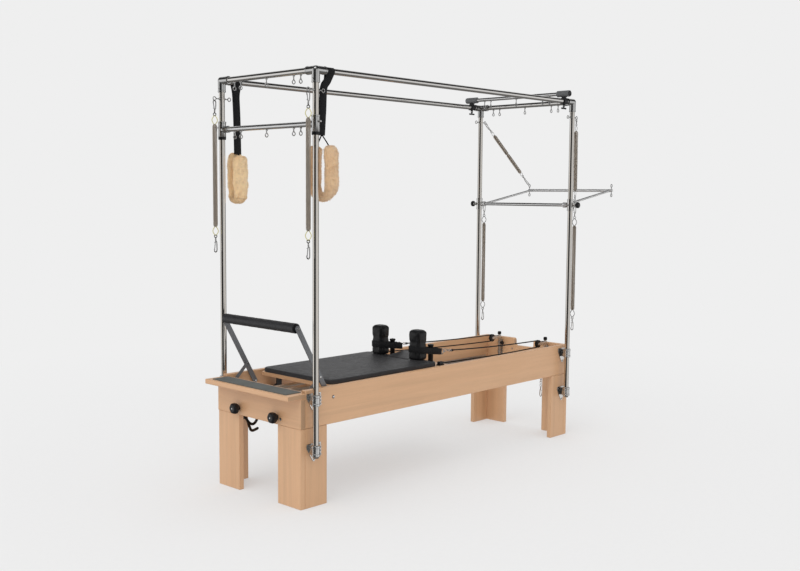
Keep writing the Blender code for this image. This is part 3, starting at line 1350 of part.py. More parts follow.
def fuzzy_loop(side_name, side):
    """A sheepskin loop tied to a strap that hangs over a long tube."""
    name = f"fuzzy_loop_{side_name}"
    tube = at(LOOP_TUBE_STATION[side_name], side * POLE_Y, TOWER_TOP)
    top = LOOP_TOP - LOOP_SINK[side_name]
    shift = ALONG * LOOP_SHIFT[side_name]
    hang = at(LOOP_STATION[side_name], tube.y + LOOP_DRIFT[side_name], top + LOOP_STRAP_SPARE[side_name])
    body(name, tube)
    inner = TUBE_RADIUS + GAP * 2
    t = LOOP_STRAP_THICKNESS
    wrap_half = LOOP_WRAP_HALF[side_name]
    middle = Vector((hang.x, tube.y + LOOP_STRAP_BOW[side_name], tube.z - 0.085))
    rows = ((tube - UP * (inner + 0.0005), wrap_half), (tube - UP * 0.029, wrap_half),
            (middle, LOOP_STRAP_HALF), (hang, LOOP_STRAP_HALF))
    corners = ((-1, -1), (1, -1), (1, 1), (-1, 1))
    bm = bmesh.new()
    add_loops(bm, [[p + ALONG * (a * half) + ACROSS * (b * t) for a, b in corners] for p, half in rows],
              closed=False)
    loop = piece(name, bm, "sheepskin", name)

    def wrap(bm):
        add_rod(bm, tube - ALONG * wrap_half, tube + ALONG * wrap_half, inner + t)

    def bore(bm):
        add_rod(bm, tube - ALONG * (wrap_half + 0.01), tube + ALONG * (wrap_half + 0.01), inner)

    def fleece(bm):
        half, thick = LOOP_HALF_WIDTH[side_name], LOOP_THICKNESS[side_name]
        line = [Vector((hang.x, y, z)) + shift for y, z in loop_line(side_name, side)]
        loops = []
        for i, point in enumerate(line):
            way = (line[min(i + 1, len(line) - 1)] - line[max(i - 1, 0)]).yz.normalized()
            scale = 0.75 if i in (0, len(line) - 1) else 1.0
            loops.append(loop_section(point, way, half * scale, thick * scale))
        add_loops(bm, loops, closed=False)

    def tie(lean):
        def build(bm):
            end = Vector((hang.x, hang.y + lean * LOOP_SPREAD[side_name] * 0.41, top - 0.010)) + shift
            add_rod(bm, hang + UP * 0.004, end, LOOP_TIE_RADIUS, SMALL_ROUND)
        return build

    boolean(loop, "UNION", wrap)
    boolean(loop, "DIFFERENCE", bore)
    boolean(loop, "UNION", fleece)
    for lean in (-1, 1):
        boolean(loop, "UNION", tie(lean))


def clear_scene():
    for obj in list(bpy.data.objects):
        bpy.data.objects.remove(obj, do_unlink=True)


def make_materials():
    material("beech", (0.60, 0.39, 0.22), 0.45)
    material("aluminium", (0.70, 0.71, 0.72), 0.35, 1.0)
    material("chrome_tube", (0.62, 0.61, 0.59), 0.16, 1.0)
    material("brushed_steel", (0.50, 0.50, 0.50), 0.30, 1.0)
    material("grey_steel", (0.16, 0.17, 0.18), 0.42, 0.6)
    material("black_steel", (0.02, 0.02, 0.02), 0.45, 0.4)
    material("spring_steel", (0.30, 0.27, 0.23), 0.35, 1.0)
    material("black_plastic", (0.012, 0.012, 0.013), 0.38)
    material("grey_rubber", (0.10, 0.105, 0.10), 0.85)
    material("black_vinyl", (0.025, 0.025, 0.027), 0.50)
    material("black_foam", (0.012, 0.012, 0.014), 0.55)
    material("black_webbing", (0.008, 0.008, 0.009), 0.80)
    material("black_rope", (0.01, 0.01, 0.01), 0.70)
    material("sheepskin", (0.72, 0.55, 0.36), 0.95)


def build():
    clear_scene()
    make_materials()
    foot_end_board()
    head_end_board()
    platform()
    spring_bar()
    for side_name, side in SIDES:
        rail(side_name, side)
        track(side_name, side)
        for end_name in ("foot", "head"):
            leg(end_name, side_name, side)
            upright(end_name, side_name, side)
        long_tube(side_name, side)
        end_knob(side_name, side)
    cross_tube("foot", POLE_FOOT_STATION)
    cross_tube("head", POLE_HEAD_STATION)
    footbar()
    footbar_strut()
    carriage()
    headrest()
    carriage_springs()
    for side_name, side in SIDES:
        for end_name, station in zip(("front", "back"), WHEEL_STATIONS):
            carriage_wheel(end_name, station, side_name, side)
        shoulder_rest(side_name, side)
        hand_strap(side_name, side)
        rope(side_name, side)
        riser(side_name, side)
        pulley(side_name, side)
    low_cross_bar()
    slider_bar()
    ptb_carrier()
    ptb_bar()
    for side_name, side in SIDES:
        slider_knob(side_name, side)
        ptb_knob(side_name, side)
        fuzzy_loop(side_name, side)
    springs()
    bpy.context.view_layer.update()


build()
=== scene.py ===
import math
import random

import bmesh
import bpy
import numpy as np
from mathutils import Matrix, Vector, noise


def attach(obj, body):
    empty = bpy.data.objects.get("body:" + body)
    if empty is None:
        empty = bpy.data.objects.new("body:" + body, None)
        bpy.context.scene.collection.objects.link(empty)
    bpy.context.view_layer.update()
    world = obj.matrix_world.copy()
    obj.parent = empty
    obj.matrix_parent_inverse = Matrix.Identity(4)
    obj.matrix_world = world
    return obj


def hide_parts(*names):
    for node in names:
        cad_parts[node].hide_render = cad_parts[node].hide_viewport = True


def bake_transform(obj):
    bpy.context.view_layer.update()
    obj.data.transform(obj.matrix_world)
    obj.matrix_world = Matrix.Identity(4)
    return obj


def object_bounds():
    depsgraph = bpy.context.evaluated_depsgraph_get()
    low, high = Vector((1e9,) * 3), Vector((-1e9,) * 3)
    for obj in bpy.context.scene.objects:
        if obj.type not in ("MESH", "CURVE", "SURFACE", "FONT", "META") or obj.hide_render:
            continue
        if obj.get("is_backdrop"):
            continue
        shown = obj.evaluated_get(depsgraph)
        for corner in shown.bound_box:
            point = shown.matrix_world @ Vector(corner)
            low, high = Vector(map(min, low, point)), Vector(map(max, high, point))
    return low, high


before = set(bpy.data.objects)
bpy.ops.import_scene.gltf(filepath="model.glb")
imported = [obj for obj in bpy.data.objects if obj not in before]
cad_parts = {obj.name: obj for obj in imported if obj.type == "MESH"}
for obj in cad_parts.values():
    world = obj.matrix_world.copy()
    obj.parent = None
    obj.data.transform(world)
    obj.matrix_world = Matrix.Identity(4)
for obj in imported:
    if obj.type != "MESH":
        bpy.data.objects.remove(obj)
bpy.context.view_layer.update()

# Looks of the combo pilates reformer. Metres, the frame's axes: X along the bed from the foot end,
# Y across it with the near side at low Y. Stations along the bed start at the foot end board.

SHIFT = -1.4105  # station zero in X
SIDES = (("near", -1), ("far", 1))
UP, ALONG, ACROSS = Vector((0, 0, 1)), Vector((1, 0, 0)), Vector((0, 1, 0))
LENGTH, BOARD = 2.408, 0.030  # the bed over its end boards, and the boards' thickness
DECK_TOP = 0.617
FOOT, HEAD = 0.067, 2.341  # stations of the tower's poles
POLE_Y, TOP, TUBE = 0.390, 2.255, 0.016
LOW_BAR_Z, SLIDER_Z, PUSH_Z = 1.987, 2.303, 1.575
EYE_Z = 2.155
EYE_YS = (-0.275, -0.220, 0.0, 0.220, 0.275)
SPRING_YS = (-0.15, -0.05, 0.05, 0.15)
WHEEL_STATIONS = (("front", 0.370), ("back", 1.120))
AXLE_Z = 0.5003


def at(station, y, z):
    return Vector((station + SHIFT, y, z))


# Materials: each is one Principled surface with procedural colour, roughness and relief


class Look:
    def __init__(self, name, colour, rough, metal=0.0, **sockets):
        self.mat = bpy.data.materials.new(name)
        self.mat.use_nodes = True
        self.tree = self.mat.node_tree
        self.shader = self.tree.nodes["Principled BSDF"]
        for key, value in dict(Base_Color=colour, Roughness=rough, Metallic=metal, **sockets).items():
            self.put(value, self.shader.inputs[key.replace("_", " ")])
        self.last_normal = None

    def node(self, kind, props=None, **sockets):
        made = self.tree.nodes.new("ShaderNode" + kind)
        for key, value in (props or {}).items():
            setattr(made, key, value)
        for key, value in sockets.items():
            self.put(value, made.inputs[key.replace("_", " ")])
        return made

    def put(self, value, socket):
        if isinstance(value, bpy.types.NodeSocket):
            self.tree.links.new(value, socket)
        else:
            socket.default_value = (*value, 1) if socket.type == "RGBA" else value

    def coords(self, scale=1, source="Object", shift=(0, 0, 0)):
        texture = self.node("TexCoord").outputs[source]
        scale = scale if isinstance(scale, tuple) else (scale,) * 3
        return self.node("Mapping", Vector=texture, Scale=scale, Location=shift).outputs[0]

    def noise(self, vector, scale, detail=3.0, rough=0.5, distortion=0.0):
        made = self.node("TexNoise", Vector=vector, Scale=scale, Detail=detail, Roughness=rough,
                         Distortion=distortion)
        return made.outputs["Fac"]

    def math(self, operation, a, b=0.0):
        made = self.node("Math", {"operation": operation})
        self.put(a, made.inputs[0])
        self.put(b, made.inputs[1])
        return made.outputs[0]

    def plus(self, a, b):
        return self.math("ADD", a, b)

    def times(self, a, b):
        return self.math("MULTIPLY", a, b)

    def spread(self, value, low, high, out_low=0.0, out_high=1.0):
        made = self.node("MapRange", Value=value, From_Min=low, From_Max=high, To_Min=out_low,
                         To_Max=out_high)
        return made.outputs[0]

    def ramp(self, value, stops):
        made = self.node("ValToRGB", Fac=value)
        ramp = made.color_ramp
        while len(ramp.elements) < len(stops):
            ramp.elements.new(0.5)
        for element, (place, colour) in zip(ramp.elements, stops):
            element.position = place
            element.color = (*colour, 1)
        return made.outputs["Color"]

    def blend(self, share, a, b):
        made = self.node("Mix", {"data_type": "RGBA"})
        sockets = [s for s in made.inputs if s.type == "RGBA"]
        self.put(share, made.inputs[0])
        self.put(a, sockets[0])
        self.put(b, sockets[1])
        return [s for s in made.outputs if s.type == "RGBA"][0]

    def mix(self, share, a, b):
        """A shader between two others."""
        made = self.node("MixShader")
        for value, socket in zip((share, a.outputs[0], b.outputs[0]), made.inputs):
            self.put(value, socket)
        return made

    def paint(self, colour):
        self.put(colour, self.shader.inputs["Base Color"])

    def rough(self, value):
        self.put(value, self.shader.inputs["Roughness"])

    def bump(self, height, distance, strength=1.0):
        made = self.node("Bump", Height=height, Distance=distance, Strength=strength)
        if self.last_normal is not None:
            self.put(self.last_normal, made.inputs["Normal"])
        self.last_normal = made.outputs["Normal"]
        self.put(self.last_normal, self.shader.inputs["Normal"])


def shade(colour, factor, lift=0.0):
    return tuple(min(1.0, c * factor + lift) for c in colour)


def grey(v):
    return (v, v, v)


def wood(name, grain, seed=0, tint=1.0, stave=0.085):
    """Steamed beech under satin lacquer: glued staves, soft streaks and short flecks along the grain."""
    look = Look(name, (0.58, 0.37, 0.235), 0.42, Coat_Weight=0.25, Coat_Roughness=0.3)
    axis = "XYZ".index(grain)
    across = [i for i in range(3) if i != axis]
    shift = (seed * 3.17, seed * 1.73, seed * 2.39)

    def stretch(along, square):
        return tuple(along if i == axis else square for i in range(3))

    place = look.node("SeparateXYZ", Vector=look.coords(shift=shift))
    # the staves step in both directions across the grain, so that every face shows them
    steps = [look.math("FLOOR", look.math("DIVIDE", place.outputs[i], stave)) for i in across]
    key = look.node("CombineXYZ", X=steps[0], Y=steps[1], Z=float(seed))
    tone = look.node("TexWhiteNoise", {"noise_dimensions": "3D"}, Vector=key.outputs[0]).outputs["Value"]
    offset = look.node("VectorMath", {"operation": "SCALE"}, Vector=key.outputs[0])
    offset.inputs["Scale"].default_value = 7.31
    moved = look.node("VectorMath", {"operation": "ADD"})
    look.put(look.coords(shift=shift), moved.inputs[0])
    look.put(offset.outputs[0], moved.inputs[1])

    def grained(along, square):
        return look.node("Mapping", Vector=moved.outputs[0], Scale=stretch(along, square)).outputs[0]

    broad = look.noise(grained(1.1, 26.0), 1.0, 4.0, 0.55, 0.35)
    narrow = look.noise(grained(7.0, 210.0), 1.0, 3.0, 0.6)
    flecks = look.spread(look.noise(grained(42.0, 520.0), 1.0, 1.0, 0.5), 0.66, 0.80)
    rings = look.spread(look.noise(grained(0.35, 9.0), 1.0, 2.0, 0.5, 0.8), 0.3, 0.7)
    c = (0.685 * tint, 0.410 * tint, 0.227 * tint)
    colour = look.ramp(broad, [(0.28, shade(c, 0.90)), (0.50, c), (0.74, shade(c, 1.07))])
    colour = look.blend(look.spread(narrow, 0.35, 0.75, 0.0, 0.16), colour, shade(c, 0.70))
    colour = look.blend(look.times(flecks, 0.34), colour, shade(c, 0.52))
    colour = look.blend(look.times(rings, 0.10), colour, (c[0] * 0.93, c[1] * 0.84, c[2] * 0.76))
    colour = look.blend(look.spread(tone, 0.0, 1.0, 0.0, 0.13), colour,
                        (c[0] * 0.90, c[1] * 0.82, c[2] * 0.74))
    # end grain: darker, with close rings, on the faces square to the grain
    normal = look.node("SeparateXYZ", Vector=look.node("TexCoord").outputs["Normal"]).outputs[axis]
    end = look.spread(look.math("ABSOLUTE", normal), 0.80, 0.92)
    arcs = look.node("TexWave", {"wave_type": "RINGS", "rings_direction": grain}, Scale=38.0, Distortion=2.2,
                     Detail=2.0, Vector=look.coords(shift=tuple(s + 0.21 for s in shift)))
    cut = look.blend(look.times(arcs.outputs["Fac"], 0.5), shade(c, 0.70), shade(c, 0.50))
    look.paint(look.blend(end, colour, cut))
    smear = look.noise(look.coords(6, shift=shift), 1.0, 3.0)
    look.rough(look.plus(look.spread(smear, 0.3, 0.7, 0.34, 0.46), look.times(end, 0.12)))
    look.bump(look.plus(look.times(narrow, 0.6), look.times(flecks, -0.5)), 0.00016, 0.7)
    return look.mat


def metal(name, colour, rough, spread=0.05, lines=None, stain=0.12, scale=9.0, fine=0.00003, **sockets):
    """Bare or plated metal with faint handling marks; lines stretches fine drawing marks along an axis."""
    look = Look(name, colour, rough, 1.0, **sockets)
    cloud = look.noise(look.coords(scale), 1.0, 4.0, 0.6)
    stretch = {"X": (4, 700, 700), "Y": (700, 4, 700), "Z": (700, 700, 4)}.get(lines, 220)
    marks = look.noise(look.coords(stretch), 1.0, 2.0, 0.7)
    look.paint(look.blend(look.spread(cloud, 0.35, 0.75, 0.0, stain), colour, shade(colour, 0.62)))
    value = look.plus(look.spread(cloud, 0.3, 0.75, rough - spread * 0.5, rough + spread * 0.5),
                      look.spread(marks, 0.3, 0.7, -spread * 0.4, spread * 0.4))
    look.rough(look.math("MAXIMUM", value, 0.04))
    look.bump(marks, fine, 0.5)
    return look.mat


def painted(name, colour, rough, grain=900.0, depth=0.00012, metallic=0.0, worn=0.25, **sockets):
    """Powder coat, moulded plastic or rubber: fine grain, with scuffs and dust that lift the tone."""
    look = Look(name, colour, rough, metallic, **sockets)
    cloud = look.noise(look.coords(14), 1.0, 5.0, 0.65)
    scuff = look.spread(look.noise(look.coords((90, 90, 30)), 1.0, 3.0, 0.75), 0.58, 0.80)
    pale = shade(colour, 1.7, 0.012)
    tone = look.blend(look.spread(cloud, 0.35, 0.75, 0.0, worn), colour, pale)
    look.paint(look.blend(look.times(scuff, worn * 0.8), tone, pale))
    look.rough(look.plus(look.spread(cloud, 0.3, 0.7, rough - 0.05, rough + 0.06), look.times(scuff, 0.10)))
    look.bump(look.noise(look.coords(grain), 1.0, 2.0, 0.6), depth, 0.6)
    return look.mat


def leather(name, colour, rough, cell=420.0, depth=0.00035, level=0.5):
    """Upholstery vinyl with a pebbled grain, soft creases and a slight sheen on the high spots."""
    look = Look(name, colour, rough, 0.0, Sheen_Weight=0.03, Sheen_Roughness=0.4, Specular_IOR_Level=level)
    pebble = look.node("TexVoronoi", {"feature": "DISTANCE_TO_EDGE"}, Vector=look.coords(), Scale=cell)
    pebbles = look.spread(pebble.outputs["Distance"], 0.0, 0.28)
    crease = look.noise(look.coords(30), 1.0, 5.0, 0.62, 0.4)
    cloud = look.noise(look.coords(5), 1.0, 3.0)
    pale = shade(colour, 1.6, 0.01)
    tone = look.blend(look.spread(cloud, 0.35, 0.7, 0.0, 0.35), colour, pale)
    # painted shade darkens the grooves between the pebbles
    look.paint(look.blend(look.spread(pebbles, 0.0, 1.0, 0.45, 0.0), tone, shade(colour, 0.45)))
    look.rough(look.plus(look.spread(crease, 0.3, 0.7, rough - 0.07, rough + 0.07),
                         look.spread(pebbles, 0.0, 1.0, 0.10, 0.0)))
    look.bump(crease, 0.0007, 0.45)
    look.bump(pebbles, depth, 0.55)
    return look.mat


def woven(name, colour, rough, pitch=0.0022, depth=0.00045, slant=0.0):
    """Webbing or braid, from the swept piece's own lengthwise and crosswise measure."""
    look = Look(name, colour, rough, 0.0, Sheen_Weight=0.04, Sheen_Roughness=0.5, Specular_IOR_Level=0.2)
    place = look.node("SeparateXYZ", Vector=look.coords(source="UV"))
    u, v = place.outputs[0], place.outputs[1]
    turns = 2 * math.pi / pitch
    if slant:
        a = look.math("SINE", look.plus(look.times(u, turns), look.times(v, slant)))
        b = look.math("SINE", look.math("SUBTRACT", look.times(u, turns), look.times(v, slant)))
        weave = look.math("MAXIMUM", a, b)
    else:
        a = look.math("SINE", look.times(u, turns))
        b = look.math("SINE", look.times(v, turns * 0.8))
        weave = look.times(a, b)
    level = look.spread(weave, -1.0, 1.0)
    fuzz = look.noise(look.coords(900), 1.0, 2.0)
    pale = shade(colour, 1.9, 0.006)
    # the colour follows the weave's relief: painted shade in the dips, painted highlight on the ridges
    look.paint(look.blend(level, shade(colour, 0.5), pale))
    look.rough(look.spread(fuzz, 0.3, 0.7, rough - 0.06, rough + 0.06))
    look.bump(level, depth, 0.9)
    look.bump(fuzz, 0.0001, 0.4)
    return look.mat


def fleece(name, colour):
    """Sheepskin pile: warm cream, with painted highlight on the tips of the locks and painted shade down
    between them.
    """
    look = Look(name, colour, 0.92, 0.0, Sheen_Weight=0.5, Sheen_Roughness=0.6, Subsurface_Weight=0.12,
                Subsurface_Scale=0.01)
    look.shader.inputs["Subsurface Radius"].default_value = (1.0, 0.6, 0.35)
    locks = look.noise(look.coords((75, 75, 60)), 1.0, 4.0, 0.6, 0.6)
    fibre = look.noise(look.coords((520, 520, 420)), 1.0, 2.0, 0.7)
    patch = look.noise(look.coords((14, 14, 11)), 1.0, 2.0)
    # the colour follows the locks' relief: painted highlight on the high tips, painted shade in the hollows
    # between them
    tone = look.ramp(locks, [(0.32, shade(colour, 0.86)), (0.50, colour), (0.68, shade(colour, 1.10))])
    tone = look.blend(look.spread(fibre, 0.35, 0.65, 0.0, 0.14), tone, shade(colour, 0.74))
    look.paint(look.blend(look.spread(patch, 0.4, 0.7, 0.0, 0.30), tone,
                          (colour[0] * 1.02, colour[1] * 0.90, colour[2] * 0.78)))
    look.bump(locks, 0.004, 0.7)
    look.bump(fibre, 0.001, 0.6)
    return look.mat


BRIGHT, TUBE_MARKS = (0.68, 0.665, 0.645), 0.000002
CHROME = metal("chrome_plate", BRIGHT, 0.12, 0.04, None, 0.08)
CHROME_X = metal("chrome_tube_long", BRIGHT, 0.12, 0.04, "X", 0.06, fine=TUBE_MARKS)
CHROME_Y = metal("chrome_tube_cross", BRIGHT, 0.12, 0.04, "Y", 0.06, fine=TUBE_MARKS)
CHROME_Z = metal("chrome_tube_pole", (0.68, 0.645, 0.60), 0.12, 0.04, "Z", 0.06, fine=TUBE_MARKS)
STEEL = metal("brushed_steel_cross", (0.68, 0.68, 0.68), 0.24, 0.07, "Y", 0.10)
# the push-through frame's steel is a paler copy of the cross tubes' steel: painted light, so that the arms
# read pale although they mirror the dark ceiling and floor
STEEL_X = metal("brushed_steel_arm_painted_light", (0.95, 0.95, 0.95), 0.55, 0.07, "X", 0.08)
NICKEL = metal("nickel_small_parts", (0.62, 0.615, 0.61), 0.17, 0.06, None, 0.15, 30.0)
CAST = metal("polished_casting", (0.66, 0.66, 0.655), 0.27, 0.08, None, 0.18, 22.0, 0.00006)
# the fittings take a darker copy of the polished metal: painted shade for their darker look
FITTING = metal("polished_fitting_painted_shade", (0.52, 0.52, 0.515), 0.18, 0.06, None, 0.18, 22.0, 0.00004)
SPRING = metal("spring_wire", (0.76, 0.68, 0.59), 0.38, 0.04, None, 0.08, 12.0, 0.00001)
ALUMINIUM = metal("anodised_track", (0.66, 0.67, 0.68), 0.34, 0.08, "X", 0.10)
GREY = painted("grey_powder_coat", (0.165, 0.170, 0.180), 0.40, 1100.0, 0.0001, 0.35, 0.18)
BLACK_STEEL = painted("black_powder_coat", (0.016, 0.016, 0.018), 0.42, 1100.0, 0.0001, 0.2, 0.35)
PLASTIC = painted("black_moulded_plastic", (0.006, 0.006, 0.007), 0.30, 700.0, 0.0001, 0.0, 0.40,
                  Specular_IOR_Level=0.32)
CAP_GREY = painted("grey_cap_plastic", (0.115, 0.118, 0.122), 0.36, 700.0, 0.0001, 0.1, 0.2)
RUBBER = painted("wheel_rubber", (0.055, 0.057, 0.058), 0.70, 500.0, 0.0003, 0.0, 0.4)
MAT = painted("platform_rubber", (0.118, 0.124, 0.116), 0.86, 420.0, 0.0008, 0.0, 0.30)
FOAM = painted("roller_foam", (0.020, 0.020, 0.023), 0.52, 650.0, 0.0005, 0.0, 0.35)
VINYL = leather("pad_vinyl", (0.036, 0.036, 0.039), 0.44)
HIDE = leather("rest_leather", (0.0055, 0.0055, 0.0065), 0.32, 330.0, 0.0003, 0.36)
WEBBING = woven("black_webbing", (0.0065, 0.0065, 0.0075), 0.72)
ROPE = woven("black_braided_rope", (0.009, 0.009, 0.010), 0.66, 0.006, 0.0006, 6.0)
LACE = woven("cream_cord_loop", (0.42, 0.39, 0.20), 0.60, 0.004, 0.0004, 5.0)
# the near loop's pile is a darker copy of the same sheepskin: painted shade for the near loop, which sits in
# shade
WOOL = {"far": fleece("sheepskin_pile", (0.90, 0.655, 0.375)),
        "near": fleece("sheepskin_pile_painted_shade", (0.74, 0.50, 0.285))}
DARK = painted("dark_recess", (0.006, 0.006, 0.006), 0.6)


# Shapes: points and faces of one piece, with a measure along and round each swept form


class Shape:
    def __init__(self, mark=0):
        """mark is the number of the finish that the next faces take."""
        self.points, self.faces, self.marks, self.uvs, self.mark = [], [], [], [], mark

    def add(self, points, faces, uvs=None):
        first = len(self.points)
        self.points += [tuple(p) for p in points]
        for i, face in enumerate(faces):
            self.faces.append([first + k for k in face])
            self.marks.append(self.mark)
            self.uvs.append(uvs[i] if uvs else [(0.0, 0.0)] * len(face))
        return self

    def loft(self, loops, closed=False, lengths=None):
        n, m = len(loops[0]), len(loops)
        points = [p for loop in loops for p in loop]
        faces, uvs = [], []
        if lengths is None:
            lengths = [0.0]
            for a, b in zip(loops, loops[1:]):
                lengths.append(lengths[-1] + (Vector(b[0]) - Vector(a[0])).length)
            lengths.append(lengths[-1])
        for r in range(m if closed else m - 1):
            s = (r + 1) % m
            for i in range(n):
                j = (i + 1) % n
                faces.append((r * n + i, r * n + j, s * n + j, s * n + i))
                v0, v1 = i / n, (i + 1) / n
                uvs.append([(lengths[r], v0), (lengths[r], v1), (lengths[r + 1], v1), (lengths[r + 1], v0)])
        if not closed:
            for face in (list(range(n))[::-1], list(range((m - 1) * n, m * n))):
                faces.append(face)
                uvs.append([(0.0, 0.0)] * n)
        return self.add(points, faces, uvs)

    def turned(self, start, direction, profile, sides=32, bored=False):
        """Revolves (distance, radius) pairs; bored joins the last to the first and leaves the ends open."""
        direction = Vector(direction).normalized()
        u, v = square_to(direction)
        return self.loft([circle(Vector(start) + direction * d, u, v, r, sides) for d, r in profile],
                         closed=bored)

    def rod(self, start, end, radius, sides=32, ease=None):
        start, end = Vector(start), Vector(end)
        length = (end - start).length
        e = min(radius * 0.2, 0.0015, length * 0.3) if ease is None else ease
        # the rings just inside the eased ends keep the shading of the long wall square to it
        first = [(0, radius - e), (e * 0.35, radius - e * 0.3), (e, radius), (e + length * 0.01, radius),
                 (e + length * 0.02, radius)]
        return self.turned(start, end - start, mirrored(first, length), sides)

    def ring(self, centre, axis, radius, wire, steps=28, sides=10, stretch=None):
        centre, axis = Vector(centre), Vector(axis).normalized()
        u, v = square_to(axis)
        loops = []
        for i in range(steps):
            a = 2 * math.pi * (i + 0.5) / steps
            out = u * math.cos(a) + v * math.sin(a)
            shift = Vector(stretch) if stretch and out.dot(Vector(stretch)) > 0 else Vector()
            loops.append(circle(centre + shift + out * radius, out, axis, wire, sides)[::-1])
        return self.loft(loops, closed=True)

    def sweep(self, points, radius, sides=12, closed=False):
        """A rod bent through points; radius may be a list."""
        points, directions, lengths = course(points, closed)
        radii = radius if isinstance(radius, (list, tuple)) else [radius] * len(points)
        u = square_to(directions[0])[0]
        loops = []
        for point, direction, r in zip(points, directions, radii):
            u = (u - direction * u.dot(direction)).normalized()
            loops.append(circle(point, u, direction.cross(u), r, sides))
        return self.loft(loops, closed, lengths)

    def band(self, points, half, thick, wide):
        """A flat strap through points: wide gives the width's direction, half may change along the way."""
        points, directions, lengths = course(points, False)
        halves = half if isinstance(half, (list, tuple)) else [half] * len(points)
        t = thick / 2
        e = min(t * 0.8, 0.0012)
        loops = []
        for point, direction, h in zip(points, directions, halves):
            w = (wide - direction * wide.dot(direction)).normalized()
            out = direction.cross(w)
            section = [(-h, -t + e), (-h + e, -t), (h - e, -t), (h, -t + e)]
            loops.append([point + w * a + out * b for a, b in section + [(-a, -b) for a, b in section]])
        first = len(self.faces)
        self.loft(loops, lengths=lengths)
        spots = (0.0, 0.02, 0.46, 0.48, 0.5, 0.52, 0.96, 0.98, 1.0)
        measure = 2 * max(halves)
        for k in range(first, len(self.uvs)):
            self.uvs[k] = [(a, abs(0.5 - spots[min(int(round(b * 8)), 8)]) * 2 * measure)
                           for a, b in self.uvs[k]]
        return self

    def prism(self, outline, axis, low, high):
        def point(a, b, c):
            return {"X": (c, a, b), "Y": (a, c, b), "Z": (a, b, c)}[axis]
        return self.loft([[point(a, b, c) for a, b in outline] for c in (low, high)])

    def box(self, low, high):
        (x0, y0, z0), (x1, y1, z1) = [min(a, b)
                                      for a, b in zip(low, high)], [max(a, b) for a, b in zip(low, high)]
        return self.prism([(x0, y0), (x1, y0), (x1, y1), (x0, y1)], "Z", z0, z1)

    def coil(self, start, end, radius, wire, pitch, steps=12, sides=6, taper=0.016):
        """A close-wound spring between two points, drawn in at both ends."""
        start, end = Vector(start), Vector(end)
        direction, length = (end - start).normalized(), (end - start).length
        u, v = square_to(direction)
        turns = max(3, round(length / pitch))
        count = turns * steps
        path = []
        for i in range(count + 1):
            d = length * i / count
            edge = min(1.0, d / taper, (length - d) / taper)
            r = (radius - wire) * (0.45 + 0.55 * math.sin(edge * math.pi / 2))
            a = 2 * math.pi * i / steps
            path.append(start + direction * d + u * (r * math.cos(a)) + v * (r * math.sin(a)))
        return self.sweep(path, wire, sides)

    def hexagon(self, centre, direction, across, height):
        direction = Vector(direction).normalized()
        u, v = square_to(direction)
        r = across / math.sqrt(3)
        loops = []
        for d, s in ((0, 0.96), (height * 0.12, 1.0), (height * 0.82, 1.0), (height, 0.86)):
            loops.append([Vector(centre) + direction * d + (u * math.cos(a) + v * math.sin(a)) * (r * s)
                          for a in [math.pi / 3 * k for k in range(6)]])
        return self.loft(loops)

    def screw(self, centre, direction, radius, height=None):
        """A round head with a hex socket."""
        h = height or radius * 0.55
        return self.turned(centre, direction, [
            (0, radius), (h * 0.55, radius), (h * 0.9, radius * 0.82), (h, radius * 0.62),
            (h * 1.001, radius * 0.45), (h * 0.55, radius * 0.42)], 20)


def course(points, closed):
    """Points of a route as vectors, the direction at each, and the length run up to each."""
    points = [Vector(p) for p in points]
    n = len(points)
    directions, lengths = [], [0.0]
    for i, point in enumerate(points):
        before = points[i - 1] if i or closed else point
        after = points[(i + 1) % n] if i < n - 1 or closed else point
        directions.append((after - before).normalized())
        if i:
            lengths.append(lengths[-1] + (point - points[i - 1]).length)
    lengths.append(lengths[-1] + ((points[0] - points[-1]).length if closed else 0))
    return points, directions, lengths


def mirrored(half, length, middle=()):
    """A profile that is the same from both ends."""
    return [*half, *middle] + [(length - d, r) for d, r in reversed(half)]


def square_to(direction):
    helper = UP if abs(direction.z) < 0.9 else ALONG
    u = helper.cross(direction).normalized()
    return u, direction.cross(u).normalized()


def circle(centre, u, v, radius, sides):
    turns = [2 * math.pi * (i + 0.5) / sides for i in range(sides)]
    return [centre + u * (radius * math.cos(a)) + v * (radius * math.sin(a)) for a in turns]


def smooth(points, steps, closed=False):
    """Points on a smooth curve through the given ones."""
    points = [Vector(p) for p in points]
    n = len(points)
    out = []
    for i in range(n if closed else n - 1):
        p = [points[(i + k - 1) % n] if closed else points[min(max(i + k - 1, 0), n - 1)] for k in range(4)]
        for s in range(steps):
            t = s / steps
            out.append(0.5 * ((2 * p[1]) + (p[2] - p[0]) * t + (2 * p[0] - 5 * p[1] + 4 * p[2] - p[3]) * t * t
                              + (3 * p[1] - p[0] - 3 * p[2] + p[3]) * t ** 3))
    if not closed:
        out.append(points[-1])
    return out


def arc(centre, radius, start, end, steps):
    turns = [math.radians(start + (end - start) * i / steps) for i in range(steps + 1)]
    return [(centre[0] + radius * math.cos(t), centre[1] + radius * math.sin(t)) for t in turns]


def rounded(low_a, high_a, low_b, high_b, radius, steps=8):
    points = []
    for ca, cb, start in ((high_a - radius, low_b + radius, -90), (high_a - radius, high_b - radius, 0),
                          (low_a + radius, high_b - radius, 90), (low_a + radius, low_b + radius, 180)):
        points += arc((ca, cb), radius, start, start + 90, steps)
    return points


